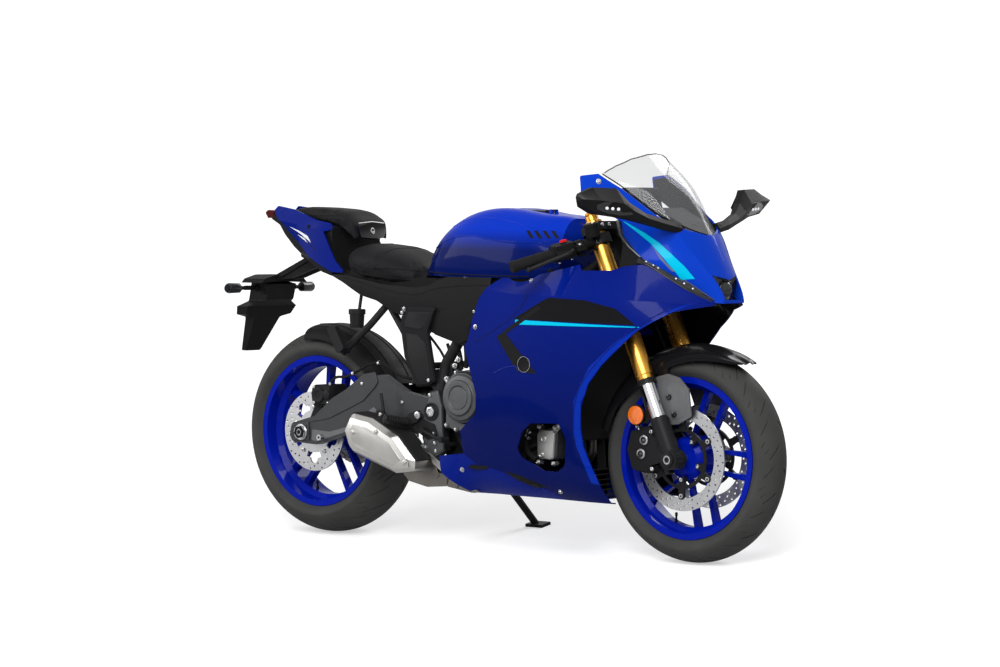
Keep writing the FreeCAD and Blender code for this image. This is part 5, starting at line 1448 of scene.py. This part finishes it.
def engineTrim():
    bright = Shape()
    grey = Shape()
    dark = Shape()
    for x, z in engine["clutchBolts"]:
        grey.turned([(0, 9), (10, 8.4), (11, 7)], (x, -166, z), across(-1), 22)
    bright.bolts(engine["clutchBolts"], -177, -1, 5.2)
    grey.turned([(186, 73.5), (189, 73), (190, 70), (186, 70)], engine["clutch"], across(-1), 64, close=True)
    grey.turned([(203, 34), (205, 33), (205.5, 20), (205.2, 0.6)], engine["clutch"], across(-1), 48)
    dark.turned([(173, 78), (176.5, 77.5), (176.5, 74.5), (173, 74)], engine["clutch"], across(-1), 64, close=True)
    for side in (-1, 1):
        out = across(side)
        # Pivot plate with the dark ring round the swingarm bolt
        grey.plate(engine["pivotPlate"], 168.2 * side, 173 * side, 0, 0.94)
        dark.turned([(170, 27), (176, 27), (178, 24), (174, 21), (174, 17)], engine["pivot"], out, 40)
        bright.turned([(168, 16), (181, 16), (182, 14), (182, 9), (178, 8)], engine["pivot"], out, 30,
                      hexed=(0, 1, 2))
        bright.bolts(engine["plateBolts"], 172.6 * side, side, 6.2)
        # Peg hanger, hinge pin, ribbed peg and pedal tip
        dark.plate(engine["hanger"], 176.2 * side, 184 * side, 0, 0.96)
        bright.turned([(184, 11), (189, 11), (190, 9), (190, 5)], engine["hinge"], out, 26)
        bright.bolts(engine["hangerBolts"], 176 * side, side, 5.2)
        peg, tip, pedal = mirrored([engine["peg"], engine["pegTip"], engine["pedal"]], side)
        for k in range(8):
            start = 22 + 8.6 * k
            grey.turned([(start, 11.5), (start + 1, 13.5), (start + 5, 13.5), (start + 6, 11.5)],
                        peg, tip - peg, 20, 1, close=True)
        grey.turned([(94, 12), (97, 14), (100, 12), (101, 6)], peg, tip - peg, 20, 1)
        for start in (8, 18, 28):
            grey.turned([(start, 7.2), (start + 1, 8.4), (start + 6, 8.4), (start + 7, 7.2)], pedal, out, 18, 1,
                        close=True)
    # Fins of the cylinder and the head, and hoses beside them
    for k in range(engine["fins"]):
        z = engine["firstFin"] + engine["finStep"] * k
        x = 690 - 0.12 * (z - 520)
        dark.slab([(x, -99, z), (900, -99, z - 6), (900, -105, z - 6), (x, -105, z)], (0, 0, 3))
    for points, radius in engine["hoses"]:
        dark.hose(points, radius, 1)
    for x, z in engine["caseBolts"]:
        bright.turned([(0, 8), (8, 8), (9, 6.5)], (x, -146, z), across(-1), 22)
    bright.bolts(engine["caseBolts"], -155, -1, 6)
    # Left-hand covers: screws round the generator and the sprocket cover, and the generator cover's raised middle
    x, _, z = engine["generator"]
    for k in range(engine["generatorBolts"]):
        out = spoke(0.25 - (k + 0.3) / engine["generatorBolts"])[0] * engine["generatorRadius"]
        bright.bolt((x + out.x, 167.5, z + out.z), across())
    grey.turned([(178, 34), (183, 33), (184, 28), (181, 26), (181, 8), (181, 0.6)], engine["generator"], across(), 44)
    bright.bolts(engine["sprocketBolts"], 146, 1)
    bright.made("engineBolts", "root", ["axle_steel"])
    grey.made("engineFittings", "root", ["cover_grey", "black_metal"], bevel=0.8)
    dark.made("engineHoses", "root", ["engine_black", "grip_rubber"], bevel=0.5)


engineTrim()

print("swingarm, rear brake and hugger trim")
arm = {
    "upper": [(34, 344), (62, 371), (124, 420), (182, 450), (254, 499), (300, 507), (312, 478), (302, 462),
              (252, 417), (180, 386), (114, 358)],
    "lower": [(40, 290), (60, 284), (198, 324), (298, 356), (306, 392), (296, 402), (200, 340),
              (116, 318), (44, 322)],
    "block": [(-49, 300), (-42, 334), (30, 345), (34, 288), (-37, 284)],
    "recess": [(-26, 294), (-26, 332), (26, 334), (26, 292)],
    "adjuster": (-50, 134, 303), "marks": 5, "firstMark": -34, "markStep": 9,
    "caliper": [(36, 400), (30, 430), (36, 456), (110, 459), (117, 430), (110, 398)], "piston": (66, 0, 428),
    "pin": (99, 0, 430), "caliperBolts": ((46, 404), (104, 404), (46, 452)),
    "hose": [(104, -134, 466), (128, -132, 484), (170, -130, 488), (214, -130, 506), (262, -130, 528),
             (318, -128, 532), (376, -124, 500), (420, -120, 490)],
    "hoseClips": ((196, 499), (300, 534)),
    "lead": [(40, -122, 300), (60, -120, 340), (110, -122, 380), (200, -122, 440)],
    # Ribs on the hugger: place across, and first and last degree round the axle
    "ribs": ((-60, -56, 4), (-30, -60, 6), (30, -60, 6), (60, -56, 4)), "huggerBolts": [(262, 492), (64, 640)],
}


def armTrim():
    grey = Shape()
    dark = Shape()
    bright = Shape()
    for side in (-1, 1):
        out = across(side)
        grey.plate(arm["upper"], 145.5 * side, 149.5 * side)
        grey.plate(arm["lower"], 145.5 * side, 148.5 * side, 1)
        # Axle block with its recess, nut washer, adjuster bolt and index marks
        grey.plate(arm["block"], 145.5 * side, 152 * side, 0, 0.96)
        dark.plate(arm["recess"], 151.5 * side, 153 * side, 0, 0.92)
        dark.turned([(152, 20), (163, 20), (165, 17.5), (165, 12), (161, 10.5)], rearCentre, out, 36, 1,
                    hexed=(0, 1, 2, 3))
        bright.turned([(150, 25), (154, 25), (155, 24), (155, 20)], rearCentre, out, 40)
        adjuster = mirrored([arm["adjuster"]], side)[0]
        bright.turned([(0, 6), (5, 6), (6, 5)], adjuster, (-1, 0, 0.1), 18, hexed=(0, 1, 2))
        bright.turned([(5, 3), (12, 3)], adjuster, (-1, 0, 0.1), 12)
        for k in range(arm["marks"]):
            x = arm["firstMark"] + arm["markStep"] * k
            dark.plate([(x, 296), (x + 1, 296), (x + 1, 304), (x, 304)], 152 * side, 152.9 * side)
        bright.bolts([(250, 470)], 149 * side, side, 5.5)
        bright.bolts([(410, 420)], 146 * side, side, 5.5)
    # Rear caliper, its piston cap, pins, and the hose over the arm
    dark.plate(arm["caliper"], -127.5, -143, 0, 0.9)
    dark.turned([(142, 23), (148, 23), (150, 20), (149, 12), (147, 11)], arm["piston"], across(-1), 36, hexed=(3, 4))
    dark.turned([(142, 14), (147, 14), (148, 12)], arm["pin"], across(-1), 28)
    bright.bolts(arm["caliperBolts"], -142)
    bright.turned([(0, 6), (7, 6), (8, 4)], (104, -134, 460), (0.3, 0, 1), 18, hexed=(0, 1))
    dark.hose(arm["hose"], 4.2, 1, steps=12)
    for x, z in arm["hoseClips"]:
        bright.turned([(-4, 4.3), (-4, 6.4), (4, 6.4), (4, 4.3)], (x, -130, z), (0.9, 0, 0.4), 16, close=True)
    # Speed sensor lead inside the arm
    dark.hose(arm["lead"], 2.6, 1, steps=10)
    grey.made("armPanels", "root", ["arm_grey", "stay_grey"], bevel=1.8)
    dark.made("rearCaliperTrim", "root", ["black_metal", "grip_rubber"], bevel=0.8)
    bright.made("rearFittings", "root", ["axle_steel"], bevel=0.4)


def huggerRibs():
    rib = Shape()
    skin = skinOf(nodes["rear_hugger"])
    for y, first, last in arm["ribs"]:
        path = []
        for k in range(19):
            out = spoke(-(first + (last - first) * k / 18) / 360)[0]
            spot = skin.ray_cast(rearCentre + across() * y + out * 380, -out, 90)[0]
            if spot is not None:
                path.append(spot)
        if len(path) > 3:
            rib.tube(path, 2.4, 8)
    boltsOn(rib, skin, arm["huggerBolts"], -1, 5)
    rib.made("huggerRibs", "root", ["black_plastic"], bend=50)


armTrim()
huggerRibs()

print("covers, tail, tank and bracket trim")
covers = {
    "skirt": [(134, 812), (230, 804), (330, 796), (420, 792), (520, 794), (610, 812), (610, 770), (520, 744),
              (420, 738), (300, 752), (150, 780)],
    "sump": [(524, 336), (610, 352), (704, 368), (726, 250), (640, 226), (566, 246)],
    "underTankShade": [(690, 808), (930, 808), (930, 740), (800, 690), (700, 720)],
    "lower": [(556, 692), (640, 716), (722, 741), (717, 714), (688, 653), (685, 617), (650, 604),
              (572, 624), (536, 634)],
    "edge": [(150, 790), (230, 776), (310, 760), (400, 748), (470, 744), (560, 766), (700, 776), (784, 776)],
    "bolts": [(706, 700), (770, 790), (420, 700)],
    "braceTop": [(442, 664), (458, 694), (548, 694), (528, 650), (500, 640), (446, 646)],
    "braceLow": [(448, 630), (496, 626), (524, 600), (546, 500), (532, 486), (500, 484), (456, 560)],
    "brace": 176, "braceBolts": ((434, 690), (540, 492)),
}


def coverTrim():
    dark = Shape()
    bolts = Shape()
    skin = skinOf(nodes["side_covers"])
    for side in (-1, 1):
        draped(dark, skin, covers["lower"], side, 3.0, 4.0, 14)
        ribbon(dark, skin, covers["edge"], side, 1.8, -0.4)
        boltsOn(bolts, skin, covers["bolts"], side, 5)
        face = covers["brace"] * side
        dark.plate(covers["braceTop"], face, face + 2.4 * side, 1, 0.9)
        dark.plate(covers["braceLow"], face, face + 2.4 * side, 1, 0.94)
        bolts.bolts(covers["braceBolts"], face, side, 6)
        # Black sheet in the gap under the seat: painted shade for the shaded inside of the bike
        dark.plate(covers["skirt"], 103 * side, 107 * side)
        dark.plate(covers["sump"], 110 * side, 114 * side)
        # Black sheet in the gap under the tank: painted shade for the shaded inside of the bike
        dark.plate(covers["underTankShade"], 136 * side, 139 * side)
    dark.made("coverPanels", "root", ["black_plastic", "brace_black"], bevel=0.8)
    bolts.made("coverBolts", "root", ["axle_steel"])


coverTrim()

tail = {
    "crease": [(-214, 975), (-150, 945), (-60, 905), (20, 872)],
    "flashes": ([(-128, 941), (-70, 927), (-26, 913), (-6, 893), (-26, 901), (-72, 921)],
                [(-84, 917), (-46, 906), (-22, 889), (-50, 900)]),
    "bolts": [(-20, 942), (100, 868)], "lens": [(-262, 985), (-252, 991), (-232, 989), (-232, 970), (-252, 967)],
    "diodes": 7, "diode": (-261.5, -30, 979), "diodeStep": 10,
    "padFace": [(150.5, -64, 955), (152.0, 0, 960), (150.5, 64, 955), (151.5, 68, 934), (152.5, 54, 908),
                (153, 0, 903), (152.5, -54, 908), (151.5, -68, 934)],
}


def tailTrim():
    dark = Shape()
    white = Shape()
    red = Shape()
    skin = skinOf(nodes["tail_sides"])
    for side in (-1, 1):
        ribbon(dark, skin, tail["crease"], side, 1.0)
        for flash in tail["flashes"]:
            draped(white, skin, flash, side, 0.4, 1.0, 10)
        boltsOn(dark, skin, tail["bolts"], side, 5)
    red.plate(tail["lens"], -36, 36)
    for k in range(tail["diodes"]):
        spot = Vector(tail["diode"]) + across() * tail["diodeStep"] * k
        red.turned([(0, 3.8), (2.0, 3.5), (2.6, 1.6), (2.7, 0.4)], spot, (-1, 0, 0.1), 14, 1)
    # Gloss panel in front of the pillion's pad
    dark.slab(tail["padFace"], (2.6, 0, 0.4), 1, 0.9)
    dark.made("tailTrim", "root", ["black_plastic", "piano_black"], bevel=1.2)
    white.made("tailFlashes", "root", ["white_paint"])
    red.made("tailLampLens", "root", ["red_lens", "lamp_red"], bevel=0.6)


tailTrim()

tank = {
    "slots": 4, "firstSlot": 868, "slotStep": 24,
    "belt": [(500, 884), (580, 912), (675, 922), (760, 911), (848, 903), (930, 906), (978, 912)],
    "shoulder": [(560, 946), (640, 972), (720, 975), (800, 965), (860, 952), (900, 944)],
    "foot": [(470, 812), (600, 808), (760, 806), (900, 806)], "bolts": [(962, 822)],
}


def tankTrim():
    dark = Shape()
    blue = Shape()
    skin = skinOf(nodes["fuel_tank"])
    for side in (-1, 1):
        for k in range(tank["slots"]):
            x = tank["firstSlot"] + tank["slotStep"] * k
            draped(dark, skin, [(x, 939), (x + 11, 939), (x + 34, 917), (x + 23, 917)], side, 0.5, 1.2, 8)
        ribbon(blue, skin, tank["belt"], side, 2.6, -0.9)
        ribbon(blue, skin, tank["shoulder"], side, 2.2, -0.8)
        ribbon(dark, skin, tank["foot"], side, 1.6)
        boltsOn(dark, skin, tank["bolts"], side)
    dark.made("tankTrim", "root", ["black_plastic"], bend=50)
    blue.made("tankCreases", "root", ["tank_blue"], bend=60)


tankTrim()

bracket = {
    "indicator": (-276, 0, 748), "ribs": 5, "firstRib": 74, "ribStep": 9, "bolt": (-240, 735), "boltY": 62,
    "bars": (700, 655, 610, 570), "lampHood": [(-300, -30, 768), (-300, 30, 768), (-300, 26, 778), (-300, -26, 778)],
    "lamp": [(-306, -20, 762), (-306, 20, 762), (-292, 20, 764), (-292, -20, 764)],
}


def bracketTrim():
    dark = Shape()
    lenses = Shape()
    centre = bracket["indicator"]
    for side in (-1, 1):
        out = across(side)
        lenses.turned([(141, 13.3), (143, 15.2), (187, 16.4), (193, 13.5), (193, 12)], centre, out, 24, close=True)
        dark.turned([(56, 11), (66, 11), (68, 8), (68, 6.2)], centre, out, 24)
        for k in range(bracket["ribs"]):
            near = bracket["firstRib"] + bracket["ribStep"] * k
            dark.turned([(near, 6.2), (near + 1, 7.4), (near + 5, 7.4), (near + 6, 6.2)], centre, out, 18, close=True)
        dark.bolts([bracket["bolt"]], bracket["boltY"] * side, side, 6)
        for z in bracket["bars"]:
            x = -262 - 0.5775 * (712 - z)
            wide = (46 if z > 660 else 42 - 0.2 * (655 - z)) * side
            dark.slab([(x, 0, z - 2), (x, wide, z - 2), (x, wide, z + 2), (x, 0, z + 2)], (4.5, 0, 1.2))
    dark.slab(bracket["lampHood"], (-8, 0, 0))
    lenses.slab(bracket["lamp"], (0, 0, 4), 1)
    dark.made("bracketRibs", "root", ["black_plastic"], bevel=0.6)
    lenses.made("rearIndicators", "root", ["smoked_lens", "clear_lens"], bend=30)


bracketTrim()
